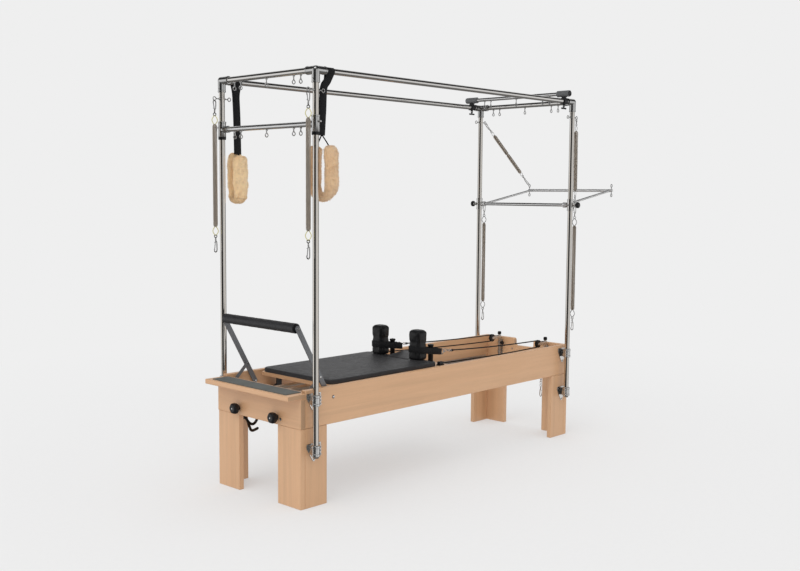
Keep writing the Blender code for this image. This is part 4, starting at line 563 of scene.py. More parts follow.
def piece(name, shape, finishes, carrier, node=None, slot=None, bevel=0.0, angle=32):
    """Makes one piece of a shape, with its finishes and eased edges."""
    mesh = bpy.data.meshes.new(name)
    mesh.from_pydata(shape.points, [], shape.faces)
    layer = mesh.uv_layers.new(name="UVMap")
    flat = np.array([c for face in shape.uvs for c in face], np.float32).ravel()
    layer.data.foreach_set("uv", flat)
    finishes = finishes if isinstance(finishes, (list, tuple)) else [finishes]
    for finish in finishes:
        mesh.materials.append(finish)
    mesh.polygons.foreach_set("material_index", shape.marks)
    bm = bmesh.new()
    bm.from_mesh(mesh)
    bmesh.ops.recalc_face_normals(bm, faces=bm.faces)
    bm.to_mesh(mesh)
    bm.free()
    obj = placed(mesh, carrier, node, angle)
    if bevel:
        modifier = obj.modifiers.new("eased", "BEVEL")
        modifier.width = bevel
        modifier.segments = 2
        modifier.limit_method = "ANGLE"
        modifier.angle_limit = math.radians(35)
        modifier.harden_normals = True
    return obj


def placed(mesh, carrier, node, angle):
    """Makes the object of a mesh, with its sharp edges, and hangs it on a body of the frame."""
    mesh.shade_smooth()
    mesh.set_sharp_from_angle(angle=math.radians(angle))
    obj = bpy.data.objects.new(mesh.name, mesh)
    bpy.context.scene.collection.objects.link(obj)
    if carrier:
        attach(obj, carrier)
    if node:
        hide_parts(node)
    return obj


def own_piece(name, shape, finishes, body, slot, *more, **named):
    """A piece of a node that has the same name as its body."""
    return piece(name, shape, finishes, body, body, slot, *more, **named)


def refinish(node, finish):
    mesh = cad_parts[node].data
    mesh.materials.clear()
    mesh.materials.append(finish)


# Wooden bed

for number, (node, grain, tint) in enumerate(
        (("rail_near", "X", 1.0), ("rail_far", "X", 0.98), ("head_end_board", "Y", 0.99),
         ("foot_end_board", "Y", 0.96), ("standing_platform", "Y", 1.02))):
    refinish(node, wood("beech_" + node, grain, number + 1, tint))

for end in ("foot", "head"):
    for side, s in SIDES:
        for part, x0, x1, y0, seed, tint in (
                ("end", 0, BOARD, 0.165, 11, 1.0), ("side", BOARD + 0.0004, 0.182, 0.32, 21, 0.97)):
            corners = ((x0, y0), (x1, y0), (x1, 0.35), (x0, 0.35))
            plan = [((x if end == "foot" else LENGTH - x) + SHIFT, s * y) for x, y in corners]
            shape = Shape().prism(plan, "Z", 0, 0.4237)
            finish = wood(f"beech_leg_{part}_{end}_{side}", "Z", seed + (s > 0) * 3 + (end == "head") * 5,
                          tint, 0.062)
            piece(f"leg_{part}_board_{end}_{side}", shape, finish, "frame", f"leg_{end}_{side}", "beech",
                  0.0022)

refinish("platform_mat", MAT)
for side, s in SIDES:
    refinish(f"track_{side}", ALUMINIUM)

# Small hardware: eye bolts and snap hooks, the board bolts, and the hook that hangs at the head end


def eye_bolt(shape, spot, out, reach, start, ring=0.0095, wire=0.0026, nut=True):
    """A shank and a ring whose middle is at reach from the spot; the washer and nut sit at start."""
    axis = ACROSS if abs(out.y) < 0.5 else ALONG
    if nut:
        shape.rod(spot + out * (start - 0.001), spot + out * (start + 0.0012), 0.0075, 24)
        shape.hexagon(spot + out * (start + 0.001), out, 0.0105, 0.0048)
    shape.rod(spot + out * (start - 0.004), spot + out * (reach - ring - wire * 0.3), 0.003, 16)
    shape.rod(spot + out * (reach - ring - 0.006), spot + out * (reach - ring - wire * 0.3), 0.0042, 16)
    shape.ring(spot + out * reach, axis, ring, wire, 30, 10)


def row_of_eyes(shape, station, z, reach, start):
    for y in EYE_YS:
        eye_bolt(shape, at(station, y, z), -UP, reach, start)


def snap_hook(shape, top, down, side, length, wire):
    """A swivel snap: eye, barrel, hook and a sprung gate, hung from a point along a direction."""
    top, down, side = Vector(top), Vector(down).normalized(), Vector(side).normalized()
    eye, barrel = 0.0072, 0.014
    shape.ring(top + down * eye, down.cross(side), eye, wire * 0.85, 22, 8)
    start = 2 * eye + wire * 0.4
    shape.turned(top + down * start, down, [(0, 0.0024), (0.002, 0.0042), (barrel * 0.45, 0.0036),
                                            (barrel * 0.55, 0.0046), (barrel - 0.002, 0.0046),
                                            (barrel, 0.003)], 18)
    a = start + barrel
    reach = length - wire
    wide = 0.0085
    route = [(a - 0.001, 0.0), (a + 0.006, 0.003), (a + 0.014, wide * 0.75), (reach - 0.012, wide * 0.85),
             (reach - 0.003, wide * 0.45), (reach, 0.0), (reach - 0.003, -wide * 0.6),
             (reach - 0.011, -wide * 0.85), (reach - 0.017, -wide * 0.7)]
    shape.sweep(smooth([top + down * d + side * w for d, w in route], 5), wire, 10)
    shape.rod(top + down * (a + 0.001) - side * 0.001, top + down * (reach - 0.0165) - side * (wide * 0.68),
              wire * 0.72, 10)
    thumb = top + down * (a + 0.012) - side * (wide * 0.3)
    shape.rod(thumb, thumb - side * 0.006, 0.0018, 10)


bits = Shape()
for side, s in SIDES:
    bits.screw(at(HEAD + 0.037, s * 0.101, 0.548), -ALONG, 0.006)
    bits.turned(at(-0.003, s * 0.192, 0.457), -ALONG, [
        (0, 0.0082), (0.001, 0.0082), (0.0018, 0.0070), (0.0022, 0.003)], 24)
piece("board_bolts", bits, ALUMINIUM, "frame")

hang = Shape()
eye_bolt(hang, at(LENGTH - BOARD, -0.181, 0.385), -ALONG, 0.038, 0.0, 0.0085, 0.0024)
for k in range(3):
    hang.ring(at(LENGTH - BOARD - 0.038, -0.181, 0.3705 - 0.0150 * k), (ALONG, ACROSS)[k % 2], 0.0065, 0.0019,
              22, 8, UP * 0.0065)
snap_hook(hang, at(LENGTH - BOARD - 0.038, -0.181, 0.3300), -UP, ACROSS, 0.086, 0.0027)
piece("head_end_snap_hook", hang, NICKEL, "frame")

# Knobs on the foot end board

for side, s in SIDES:
    y, z = s * 0.163, 0.464
    lobes, radius = 6, 0.0308
    shape = Shape()

    def lobed(scale, depth):
        turns = [2 * math.pi * i / 72 for i in range(72)]
        radii = [scale * (radius - 0.0022 * depth * (1 - math.cos(lobes * t)) / 2) for t in turns]
        return [(y + r * math.cos(t), z + r * math.sin(t)) for r, t in zip(radii, turns)]

    x0 = SHIFT - 0.003 - 0.018
    rows = ((0.0, 0.86, 0.4), (-0.0015, 0.93, 0.8), (-0.005, 0.99, 1.0), (-0.012, 1.0, 1.0),
            (-0.020, 0.99, 1.0), (-0.0245, 0.93, 1.0), (-0.0275, 0.83, 0.8), (-0.0292, 0.70, 0.5),
            (-0.0298, 0.56, 0.2), (-0.0300, 0.40, 0.0), (-0.0296, 0.36, 0.0), (-0.0296, 0.16, 0.0))
    shape.loft([[(x0 + x, a, b) for a, b in lobed(k, d)] for x, k, d in rows])
    shape.turned((x0 + 0.002, y, z), ALONG, [(0, 0.014), (0.0125, 0.0118), (0.0138, 0.0118)], 28)
    shape.mark = 1
    shape.turned((x0 + 0.0154, y, z), ALONG, [(0, 0.0155), (0.0018, 0.0155)], 28)
    shape.rod((x0 + 0.012, y, z), (SHIFT + BOARD + 0.016, y, z), 0.006, 20)
    shape.turned((x0 - 0.0296, y, z), -ALONG, [
        (0, 0.0060), (0.0012, 0.0056), (0.0020, 0.0040), (0.0024, 0.0015)], 20)
    own_piece(f"knob_end_{side}", shape, [PLASTIC, NICKEL], f"end_knob_{side}", "black_plastic")

# Spring bar, its plates and the double hook under it

shape = Shape()
shape.box(at(0.106, -0.3182, 0.535), at(0.134, 0.3182, 0.555))
for s in (-1, 1):
    outline = [(x + SHIFT, z) for x, z in ((0.034, 0.500), (0.170, 0.500), (0.170, 0.5697), (0.0607, 0.5697),
                                           (0.0607, 0.580), (0.034, 0.580))]
    shape.prism(outline, "Y", s * 0.3167, s * 0.3197)
    for x, z in ((0.050, 0.515), (0.155, 0.515), (0.155, 0.556), (0.050, 0.556)):
        shape.screw(at(x, s * 0.3167, z), -ACROSS * s, 0.0052)
for y in SPRING_YS:
    shape.rod(at(0.134, y, 0.545), at(0.139, y, 0.545), 0.008, 20)
    shape.hexagon(at(0.106, y, 0.545), -ALONG, 0.013, 0.006)
piece("spring_bar_with_plates", shape, BLACK_STEEL, "frame", "spring_bar", "black_steel", 0.0009)
shape = Shape()
shape.box(at(0.135, 0.3145, 0.352), at(0.165, 0.3195, 0.520))
for z in (0.372, 0.486):
    shape.screw(at(0.150, 0.3147, z), -ACROSS, 0.006)
piece("hook_strip", shape, BLACK_STEEL, "frame", "spring_bar", "black_steel", 0.0012)
shape = Shape()
upper = [at(0.150, y, z) for y, z in ((0.3125, 0.382), (0.290, 0.352), (0.262, 0.336), (0.235, 0.336),
                                      (0.212, 0.352), (0.192, 0.378))]
lower = [at(0.150, y, z) for y, z in ((0.286, 0.349), (0.268, 0.318), (0.256, 0.301), (0.240, 0.298),
                                      (0.215, 0.308), (0.188, 0.322))]
for route in (upper, lower):
    path = smooth(route, 6)
    ends = [min(i, len(path) - 1 - i) for i in range(len(path))]
    shape.sweep(path, [0.0079 * (0.55, 0.85, 0.96)[e] if e < 3 else 0.0079 for e in ends], 20)
piece("double_hook", shape, BLACK_STEEL, "frame", "spring_bar", "black_steel")


# Footbar: powder-coated arms and strut, foam roller

PIVOT, BAR_TOP = (0.227, 0.567), (0.0135, 0.945)


def flat_arm(shape, low, high, half, inner, outer):
    lean = math.degrees(math.atan2(high[1] - low[1], high[0] - low[0]))
    a, b = (low[0] + SHIFT, low[1]), (high[0] + SHIFT, high[1])
    shape.prism(arc(a, half, lean + 90, lean + 270, 10) + arc(b, half, lean - 90, lean + 90, 10), "Y", inner,
                outer)


shape = Shape()
for s in (-1, 1):
    flat_arm(shape, PIVOT, BAR_TOP, 0.0145, s * 0.308, s * 0.316)
shape.mark = 1
for s in (-1, 1):
    shape.rod(at(BAR_TOP[0], s * 0.3015, BAR_TOP[1]), at(BAR_TOP[0], s * 0.309, BAR_TOP[1]), 0.0125, 32)
    shape.rod(at(PIVOT[0], s * 0.315, PIVOT[1]), at(PIVOT[0], s * 0.350, PIVOT[1]), 0.005, 20)
    shape.turned(at(PIVOT[0], s * 0.3503, PIVOT[1]), ACROSS * s, [
        (0, 0.0090), (0.0014, 0.0090), (0.0019, 0.0080), (0.0038, 0.0064), (0.0046, 0.0036)], 28)
    shape.screw(at(BAR_TOP[0], s * 0.316, BAR_TOP[1]), ACROSS * s, 0.0075)
    shape.hexagon(at(PIVOT[0], s * 0.308, PIVOT[1]), -ACROSS * s, 0.013, 0.0045)
    shape.rod(at(0.166, s * 0.3155, 0.675), at(0.166, s * 0.3185, 0.675), 0.0068, 24)
piece("footbar_arms", shape, [GREY, NICKEL], "footbar", "footbar_frame", "grey_steel", 0.0010)

shape = Shape()
for s in (-1, 1):
    flat_arm(shape, (0.066, 0.575), (0.166, 0.675), 0.0098, s * 0.3028, s * 0.3072)
shape.mark = 1
shape.rod(at(0.066, -0.3184, 0.575), at(0.066, 0.3184, 0.575), 0.005, 24)
for s in (-1, 1):
    shape.rod(at(0.166, s * 0.304, 0.675), at(0.166, s * 0.3155, 0.675), 0.004, 20)
    shape.hexagon(at(0.166, s * 0.3028, 0.675), -ACROSS * s, 0.010, 0.004)
own_piece("footbar_strut_bars", shape, [GREY, NICKEL], "footbar_strut", "grey_steel", 0.0008)

shape = Shape()
top = at(BAR_TOP[0], 0, BAR_TOP[1])
rows = [(0.0, 0.020), (0.0002, 0.0242)]
for i in range(61):
    swell = 0.0003 * math.sin(i * 0.9) + 0.0003 * math.sin(i * 2.3 + 1.0)
    rows.append((0.001 + 0.595 * i / 60, 0.0262 + swell))
rows += [(0.5968, 0.0242), (0.597, 0.020)]
shape.turned(top - ACROSS * 0.2985, ACROSS, rows, 48)
shape.mark = 1
for s in (-1, 1):
    shape.turned(top + ACROSS * (s * 0.2970), ACROSS * s, [
        (0, 0.0230), (0.0004, 0.0256), (0.0030, 0.0258), (0.0042, 0.0248), (0.0044, 0.0200), (0.0036, 0.0196),
        (0.0036, 0.0140), (0.0044, 0.0134)], 40)
roller = piece("footbar_grip", shape, [FOAM, PLASTIC], "footbar", "footbar_roller", "black_foam")

# Carriage: board with its hardware, upholstered pad, headrest, shoulder rests

shape = Shape()
shape.prism(rounded(0.262 + SHIFT, 1.225 + SHIFT, -0.300, 0.300, 0.012), "Z", 0.595, DECK_TOP)
piece("carriage_board", shape, wood("beech_carriage", "Y", 9), "carriage", "carriage_deck", "beech", 0.0018)
shape = Shape()
for end, station in WHEEL_STATIONS:
    for s in (-1, 1):
        shape.box(at(station - 0.020, s * 0.2673, AXLE_Z - 0.010), at(station + 0.020, s * 0.2733, 0.5947))
        shape.box(at(station - 0.024, s * 0.235, 0.5915), at(station + 0.024, s * 0.2733, 0.5947))
piece("wheel_brackets", shape, BLACK_STEEL, "carriage", "carriage_deck", "black_steel", 0.0012)
shape = Shape()
for end, station in WHEEL_STATIONS:
    for s in (-1, 1):
        shape.rod(at(station, s * 0.262, AXLE_Z), at(station, s * 0.2945, AXLE_Z), 0.0049, 20)
        shape.hexagon(at(station, s * 0.2673, AXLE_Z), -ACROSS * s, 0.013, 0.006)
        shape.rod(at(station, s * 0.2929, AXLE_Z), at(station, s * 0.2942, AXLE_Z), 0.0085, 24)
        for x in (-0.015, 0.015):
            shape.screw(at(station + x, s * 0.250, 0.5915), -UP, 0.0045)
piece("wheel_axles", shape, NICKEL, "carriage")
shape = Shape()
for s in (-1, 1):
    foot = at(1.208, s * 0.162, DECK_TOP)
    shape.turned(foot, UP, [(0, 0.026), (0.003, 0.026), (0.0042, 0.0245), (0.0046, 0.0170), (0.006, 0.0158),
                            (0.0965, 0.0158), (0.0985, 0.0164), (0.0995, 0.0182), (0.1010, 0.0190),
                            (0.1070, 0.0190), (0.1095, 0.0172), (0.1100, 0.0080), (0.1090, 0.0070)], 40)
    x0, x1, y0, y1 = 1.138, 1.186, s * 0.281 - 0.013, s * 0.281 + 0.013
    shape.prism([(a + SHIFT, b) for a, b in ((x0, y0), (x1, y0), (x1, y1), (x0, y1))], "Z", DECK_TOP,
                DECK_TOP + 0.005)
    shape.prism([(y0 + 0.001, DECK_TOP + 0.004), (y1 - 0.001, DECK_TOP + 0.004),
                 (y1 - 0.003, DECK_TOP + 0.0215), (y1 - 0.0090, DECK_TOP + 0.0215),
                 (s * 0.281, DECK_TOP + 0.0165), (y0 + 0.0090, DECK_TOP + 0.0215),
                 (y0 + 0.003, DECK_TOP + 0.0215)], "X", 1.146 + SHIFT, 1.182 + SHIFT)
piece("posts_and_cleats", shape, PLASTIC, "carriage", "carriage_deck", "black_plastic", 0.0007)
shape = Shape()
for s in (-1, 1):
    for k in range(3):
        a = 2 * math.pi * k / 3 + 0.5
        shape.screw(at(1.208 + 0.0212 * math.cos(a), s * 0.162 + 0.0212 * math.sin(a), DECK_TOP + 0.0036), UP,
                    0.0030)
    shape.screw(at(1.208, s * 0.162, DECK_TOP + 0.1096), UP, 0.0052)
piece("post_screws", shape, NICKEL, "carriage")


def filled(path, step):
    """An outline with points at most a step apart and none that nearly coincide."""
    dense = []
    for p, q in zip(path, path[1:] + path[:1]):
        parts = max(1, int(math.dist(p, q) / step))
        dense += [(p[0] + (q[0] - p[0]) * k / parts, p[1] + (q[1] - p[1]) * k / parts) for k in range(parts)]
    clean = [dense[0]]
    for p in dense[1:]:
        if math.dist(p, clean[-1]) > 0.0008:
            clean.append(p)
    return clean


def plan_with_notch(x0, x1, notch_x):
    """The pad's outline: a rounded rectangle with a rectangular notch for the headrest in its back edge."""
    half, corner, notch, ease = 0.294, 0.040, 0.102, 0.005
    side = half - corner
    path = arc((x1 - corner, -side), corner, -90, 0, 8) + [(x1, -notch - ease - 0.001)]
    path += arc((x1 - ease, -notch - ease), ease, 0, 90, 3)
    path += [(notch_x + 0.006, -notch), (notch_x, -notch), (notch_x, notch), (notch_x + 0.006, notch)]
    path += arc((x1 - ease, notch + ease), ease, -90, 0, 3) + arc((x1 - corner, side), corner, 0, 90, 8)
    path += arc((x0 + corner, side), corner, 90, 180, 8) + arc((x0 + corner, -side), corner, 180, 270, 8)
    return path


def flat_pad(name, outline, low, high, edge, crown, finish, carrier, node, grid=0.012, tilt=None,
             lean=0.0):
    """A firm pad from its anticlockwise outline: border, sewn welt line and crowned top on a grid."""
    bm = bmesh.new()
    n = len(outline)
    normals = []
    for i in range(n):
        t = (Vector(outline[(i + 1) % n]) - Vector(outline[i - 1])).normalized()
        normals.append(Vector((-t.y, t.x)))
    rows = [(0.0022, low), (0.0004, low + 0.0006), (0.0, low + (high - low) * 0.30),
            (0.0002, high - edge - crown - 0.0030), (0.0016, high - edge - crown - 0.0014),
            (0.0002, high - edge - crown)]
    for k in range(1, 7):
        a = math.pi / 2 * k / 6
        rows.append((edge * (1 - math.cos(a)), high - crown - edge * (1 - math.sin(a))))
    loops = [[bm.verts.new((p[0] + q.x * inset, p[1] + q.y * inset, z)) for p, q in zip(outline, normals)]
             for inset, z in rows]
    for a, b in zip(loops, loops[1:]):
        for i in range(n):
            bm.faces.new((a[i], a[(i + 1) % n], b[(i + 1) % n], b[i]))
    bm.faces.new(loops[0][::-1])
    bm.faces.new(loops[-1])
    ring = loops[-1]
    cuts = []
    for axis in (ALONG, ACROSS):
        reach = [v.co.dot(axis) for v in ring]
        first, span = min(reach), max(reach) - min(reach)
        cuts += [(axis, first + grid * 2 * k) for k in range(1, int(span / grid / 2))]
    bm.normal_update()
    level = high - crown - 0.0005
    for axis, value in cuts:
        faces = [f for f in bm.faces if abs(f.normal.z) > 0.99 and f.calc_center_median().z > level]
        edges = {e for f in faces for e in f.edges}
        verts = {v for f in faces for v in f.verts}
        bmesh.ops.bisect_plane(bm, geom=list(verts) + list(edges) + faces, plane_co=axis * value,
                               plane_no=axis)
    poly = np.array([(v.co.x, v.co.y) for v in ring])
    span = np.roll(poly, -1, axis=0) - poly
    length2 = (span ** 2).sum(1)
    for v in bm.verts:
        if v.co.z > high - crown - 0.0003:
            p = np.array((v.co.x, v.co.y))
            t = np.clip(((p - poly) * span).sum(1) / length2, 0, 1)
            gap = np.sqrt((((poly + span * t[:, None]) - p) ** 2).sum(1)).min()
            share = min(1.0, gap / 0.09)
            ripple = 0.0003 * noise.noise(Vector((v.co.x * 26, v.co.y * 26, 3.1))) * min(1.0, gap / 0.02)
            v.co.z += crown * (1 - (1 - share) ** 2.2) + ripple - 0.0002
    mesh = bpy.data.meshes.new(name)
    bmesh.ops.recalc_face_normals(bm, faces=bm.faces)
    bm.to_mesh(mesh)
    bm.free()
    mesh.materials.append(finish)
    if tilt:
        # the border at the hinge leans back, clear of the neighbouring pad as it tilts
        for v in mesh.vertices:
            v.co.x += lean * (v.co.z - low) * max(0.0, 1 - v.co.x / 0.04)
        mesh.transform(tilt)
    placed(mesh, carrier, node, 50)


flat_pad("carriage_upholstery", filled(plan_with_notch(0.262 + SHIFT, 1.128 + SHIFT, 1.062 + SHIFT), 0.012),
         DECK_TOP + 0.0003, 0.6453, 0.0085, 0.0032, VINYL, "carriage", "carriage_pad")
hinge = Matrix.Translation(at(1.068, 0, DECK_TOP + 0.0003)) @ Matrix.Rotation(-math.radians(6), 4, "Y")
flat_pad("headrest_upholstery", filled(rounded(0.0015, 0.1852, -0.0972, 0.0972, 0.014, 6), 0.010), 0.0008,
         0.0258, 0.0075, 0.0025, VINYL, "headrest", "headrest_pad", 0.008, hinge, 0.46)


def shoulder_rest(side, s):
    """A leather-covered block: a plump head, a waist above the strap, a crowned top gathered in pleats."""
    centre = at(1.096, s * 0.157, 0.6456)
    height, rows, around = 0.1785, 60, 72
    loops = []

    def hump(t, middle, width):
        return math.exp(-((t - middle) / width) ** 2)

    for k in range(rows + 1):
        t = k / rows
        foot, head = max(0.0, 0.07 - t) / 0.07, max(0.0, t - 0.86) / 0.14
        size = 1 - 0.12 * foot ** 2.2 - 0.30 * head ** 3.4
        size *= (1 + 0.040 * hump(t, 0.84, 0.11) - 0.070 * hump(t, 0.58, 0.07)
                 - 0.040 * hump(t, 0.30, 0.12) + 0.030 * hump(t, 0.12, 0.08))
        loop = []
        for i in range(around):
            a = 2 * math.pi * i / around
            ca, sa = math.cos(a), math.sin(a)
            x = 0.0382 * math.copysign(abs(ca) ** 0.52, ca)
            y = 0.0468 * math.copysign(abs(sa) ** 0.52, sa)
            spot = Vector((x, y + s * 0.2, height * t)) * 34
            crease = noise.fractal(Vector((spot.x, spot.y, spot.z * 0.7)), 1.0, 2.0, 3) * 0.0012
            # folds fan down from the gathered head and up from the strap
            wave = math.sin(a * 11 + 2.2 * noise.noise(spot * 0.5) + s)
            fold = wave * (0.0016 * hump(t, 0.66, 0.09) + 0.0018 * hump(t, 0.24, 0.10) + 0.0018 * head)
            out = Vector((x, y, 0)).normalized()
            edge = min(1.0, min(t, 1 - t) * 14)
            loop.append(centre + Vector((x, y, 0)) * size + out * ((crease + fold) * edge)
                        + UP * (height * t))
        loops.append(loop)
    crown = loops[-1]
    for share, rise in ((0.86, 0.0018), (0.66, 0.0032), (0.42, 0.0038), (0.18, 0.0034)):
        ring = []
        for i, p in enumerate(crown):
            flat = Vector((p.x - centre.x, p.y - centre.y, 0)) * share
            a = 2 * math.pi * i / around
            ring.append(Vector((centre.x, centre.y, p.z)) + flat
                        + UP * (rise - 0.0015 + 0.0009 * math.sin(a * 11 + s) * share))
        loops.append(ring)
    shape = Shape().loft(loops)
    obj = piece(f"shoulder_rest_cover_{side}", shape, HIDE, "carriage", f"shoulder_rest_{side}",
                "black_vinyl", angle=70)
    seam = Shape().sweep([Vector(p) for p in loops[round(rows * 0.935)]], 0.0012, 6, closed=True)
    piece(f"shoulder_rest_welt_{side}", seam, HIDE, "carriage")


for side, s in SIDES:
    shoulder_rest(side, s)


# Hand straps: webbing round the rest and its post, with a D ring, a snap and the rope's end

for side, s in SIDES:
    y, tail_y, z = s * 0.157, s * 0.195, 0.679

    def sloped(station, y):
        return at(station, y, 0.709 - 0.1375 * (station - 1.0538))

    leg = ((1.2380, 0.0515), (1.170, 0.0527), (1.110, 0.0527), (1.084, 0.0522), (1.0655, 0.0450),
           (1.0550, 0.030))
    plan = [(1.2665, tail_y - 0.004)] + [(x, y - w) for x, w in leg] + [(1.0524, y)]
    plan += [(x, y + w) for x, w in leg[::-1]] + [(1.2665, tail_y + 0.004)]
    shape = Shape().band([sloped(p.x, p.y) for p in smooth([Vector((a, b, 0)) for a, b in plan], 6)], 0.0188,
                         0.0028, UP)
    shape.band([sloped(x, tail_y) for x in (1.240, 1.250, 1.260, 1.271)], 0.0186, 0.0042, UP)
    for x in (1.2445, 1.2605):
        shape.band([at(x, tail_y, z - 0.0155), at(x, tail_y, z + 0.0187)], 0.0009, 0.0098, ALONG)
    piece(f"hand_strap_loop_{side}", shape, WEBBING, "carriage", f"hand_strap_{side}", "black_webbing",
          angle=50)
    d_ring = [at(1.2775 + x, tail_y, z + h) for x, h in (
        (-0.006, -0.0165), (-0.006, 0), (-0.006, 0.0165), (0.001, 0.0165), (0.0085, 0.010), (0.0115, -0.002),
        (0.0085, -0.012), (0.001, -0.0165))]
    shape = Shape().sweep(smooth(d_ring, 5, True), 0.0021, 10, closed=True)
    shape.rod(at(1.292, tail_y, 0.6762), at(1.302, tail_y, 0.6762), 0.0045, 18)
    snap_hook(shape, at(1.3555, tail_y, 0.6762), Vector((-1, 0, 0.16)), UP, 0.0665, 0.0020)
    shape.turned(at(1.3535, tail_y, 0.6760), ALONG, [
        (0, 0.0030), (0.002, 0.0050), (0.010, 0.0056), (0.012, 0.0050)], 18)
    piece(f"strap_ring_and_snap_{side}", shape, NICKEL, "carriage", f"hand_strap_{side}", "brushed_steel")
    shape = Shape()
    shape.turned(at(1.3615, tail_y, 0.6760), ALONG, [
        (0, 0.0048), (0.001, 0.0066), (0.016, 0.0064), (0.018, 0.0052)], 20)
    for k in range(5):
        shape.ring(at(1.3640 + 0.0028 * k, tail_y, 0.6760), ALONG, 0.0062, 0.0011, 20, 6)
    piece(f"rope_whipping_{side}", shape, DARK, "carriage", f"hand_strap_{side}", "black_webbing")

# Ropes and pulleys, risers

ROPE_TURN = 0.0225  # from the pulley's axle to the rope's middle
PULLEY, PULLEY_Z, RISER, ROPE_Y = 2.270, 0.624, 2.356, 0.200


def sag(a, b):
    """A stretch of rope that hangs 6 mm in its middle, without its last point."""
    shares = [i / 44 for i in range(44)]
    return [a.lerp(b, share) - UP * (4 * 0.006 * share * (1 - share)) for share in shares]


for side, s in SIDES:
    y = s * ROPE_Y
    centre = at(PULLEY, y, PULLEY_Z)
    start = at(1.380, s * 0.195, 0.676)
    end = at(1.1863, s * 0.281, 0.628)
    tail = end + ALONG * 0.010
    wrap = [centre + (ALONG * math.sin(t) + UP * math.cos(t)) * ROPE_TURN
            for t in [math.pi * i / 26 for i in range(27)]]
    route = sag(start + ALONG * 0.004, wrap[0]) + wrap + sag(wrap[-1], tail)[1:] + [tail, end]
    shape = Shape().sweep(route, 0.0039, 12)
    rope = piece(f"rope_braid_{side}", shape, ROPE, None, f"rope_{side}", "black_rope", angle=80)
    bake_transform(rope)

    rows = [(0.0, 0.0050), (0.0, 0.0100), (0.0008, 0.0110), (0.0008, 0.0220), (0.0, 0.0230), (0.0, 0.0255),
            (0.0008, 0.0265), (0.0026, 0.0265), (0.0034, 0.0250)]
    groove = [(0.0034 + 0.00435 * (1 - math.cos(math.pi * k / 12)),
               0.0185 + 0.0060 * (1 - math.sin(math.pi * k / 12))) for k in range(1, 12)]
    shape = Shape().turned(centre - ACROSS * 0.00775, ACROSS, mirrored(rows, 0.0155, groove), 48, bored=True)
    own_piece(f"pulley_wheel_{side}", shape, PLASTIC, f"pulley_{side}", "black_plastic")

    post, board = RISER + SHIFT, LENGTH - BOARD - 0.0003 + SHIFT
    shape = Shape().rod((post, y, 0.480), (post, y, 0.648), 0.008, 32)
    cheek = arc((PULLEY + SHIFT, PULLEY_Z), 0.009, 90, 270, 10)
    cheek += [(2.350 + SHIFT, 0.612), (2.350 + SHIFT, 0.636)]
    for lean in (-1, 1):
        shape.prism(cheek, "Y", y + lean * 0.00835, y + lean * 0.01065)
    shape.rod(centre - ACROSS * 0.0130, centre + ACROSS * 0.0130, 0.0039, 20)
    for lean in (-1, 1):
        shape.hexagon(centre + ACROSS * (lean * 0.0106), ACROSS * lean, 0.0085, 0.0036)
    shape.turned((post, y, 0.612), UP, mirrored([(0, 0.0115), (0.001, 0.0125)], 0.024), 32)
    piece(f"pulley_fork_{side}", shape, CAST, "frame", f"riser_{side}", "brushed_steel", 0.0005)
    shape = Shape()
    shape.prism(rounded(y - 0.016, y + 0.016, 0.500, 0.606, 0.004, 4), "X", board - 0.004, board)
    for z in (0.520, 0.582):
        shape.turned((post, y, z - 0.010), UP, mirrored([(0, 0.0112), (0.001, 0.0122)], 0.020), 32)
        shape.box((post, y - 0.0095, z - 0.0095), (board - 0.002, y + 0.0095, z + 0.0095))
    for z in (0.508, 0.598):
        for k in (-0.009, 0.009):
            shape.screw((board - 0.004, y + k, z), -ALONG, 0.0030)
    piece(f"riser_clamp_{side}", shape, CAST, "frame", f"riser_{side}", "brushed_steel", 0.0006)
    shape = Shape()
    shape.turned((post, y, 0.6425), UP, [(0, 0.0110), (0.001, 0.0128), (0.012, 0.0132), (0.0175, 0.0120),
                                         (0.0208, 0.0092), (0.0214, 0.0040)], 32)
    shape.turned((post, y - 0.0120, 0.582), -ACROSS, [
        (0, 0.0050), (0.0090, 0.0050), (0.0095, 0.0105), (0.0110, 0.0125), (0.0200, 0.0125), (0.0226, 0.0112),
        (0.0236, 0.0080)], 14)
    piece(f"riser_knobs_{side}", shape, PLASTIC, "frame", f"riser_{side}", "black_plastic", angle=22)

# Carriage wheels

for end, station in WHEEL_STATIONS:
    for side, s in SIDES:
        name = f"wheel_{end}_{side}"
        shape = Shape()
        start = at(station, s * 0.2745, AXLE_Z)
        shape.turned(start, ACROSS * s, mirrored(
            [(0.0012, 0.0262), (0.0, 0.0275), (0.0, 0.0320), (0.0010, 0.0340), (0.0030, 0.0349)], 0.018,
            [(0.0090, 0.0350)]), 56, bored=True)
        shape.mark = 1
        shape.turned(start, ACROSS * s, mirrored(
            [(0.001, 0.0055), (0.001, 0.0090), (0.0028, 0.0100), (0.0034, 0.0240), (0.0012, 0.0262)], 0.018),
                     48, bored=True)
        own_piece(f"tyre_and_hub_{end}_{side}", shape, [RUBBER, CAP_GREY], name, "grey_rubber")

# Carriage springs: hooks on the spring bar, close-wound coils, hanger under the board

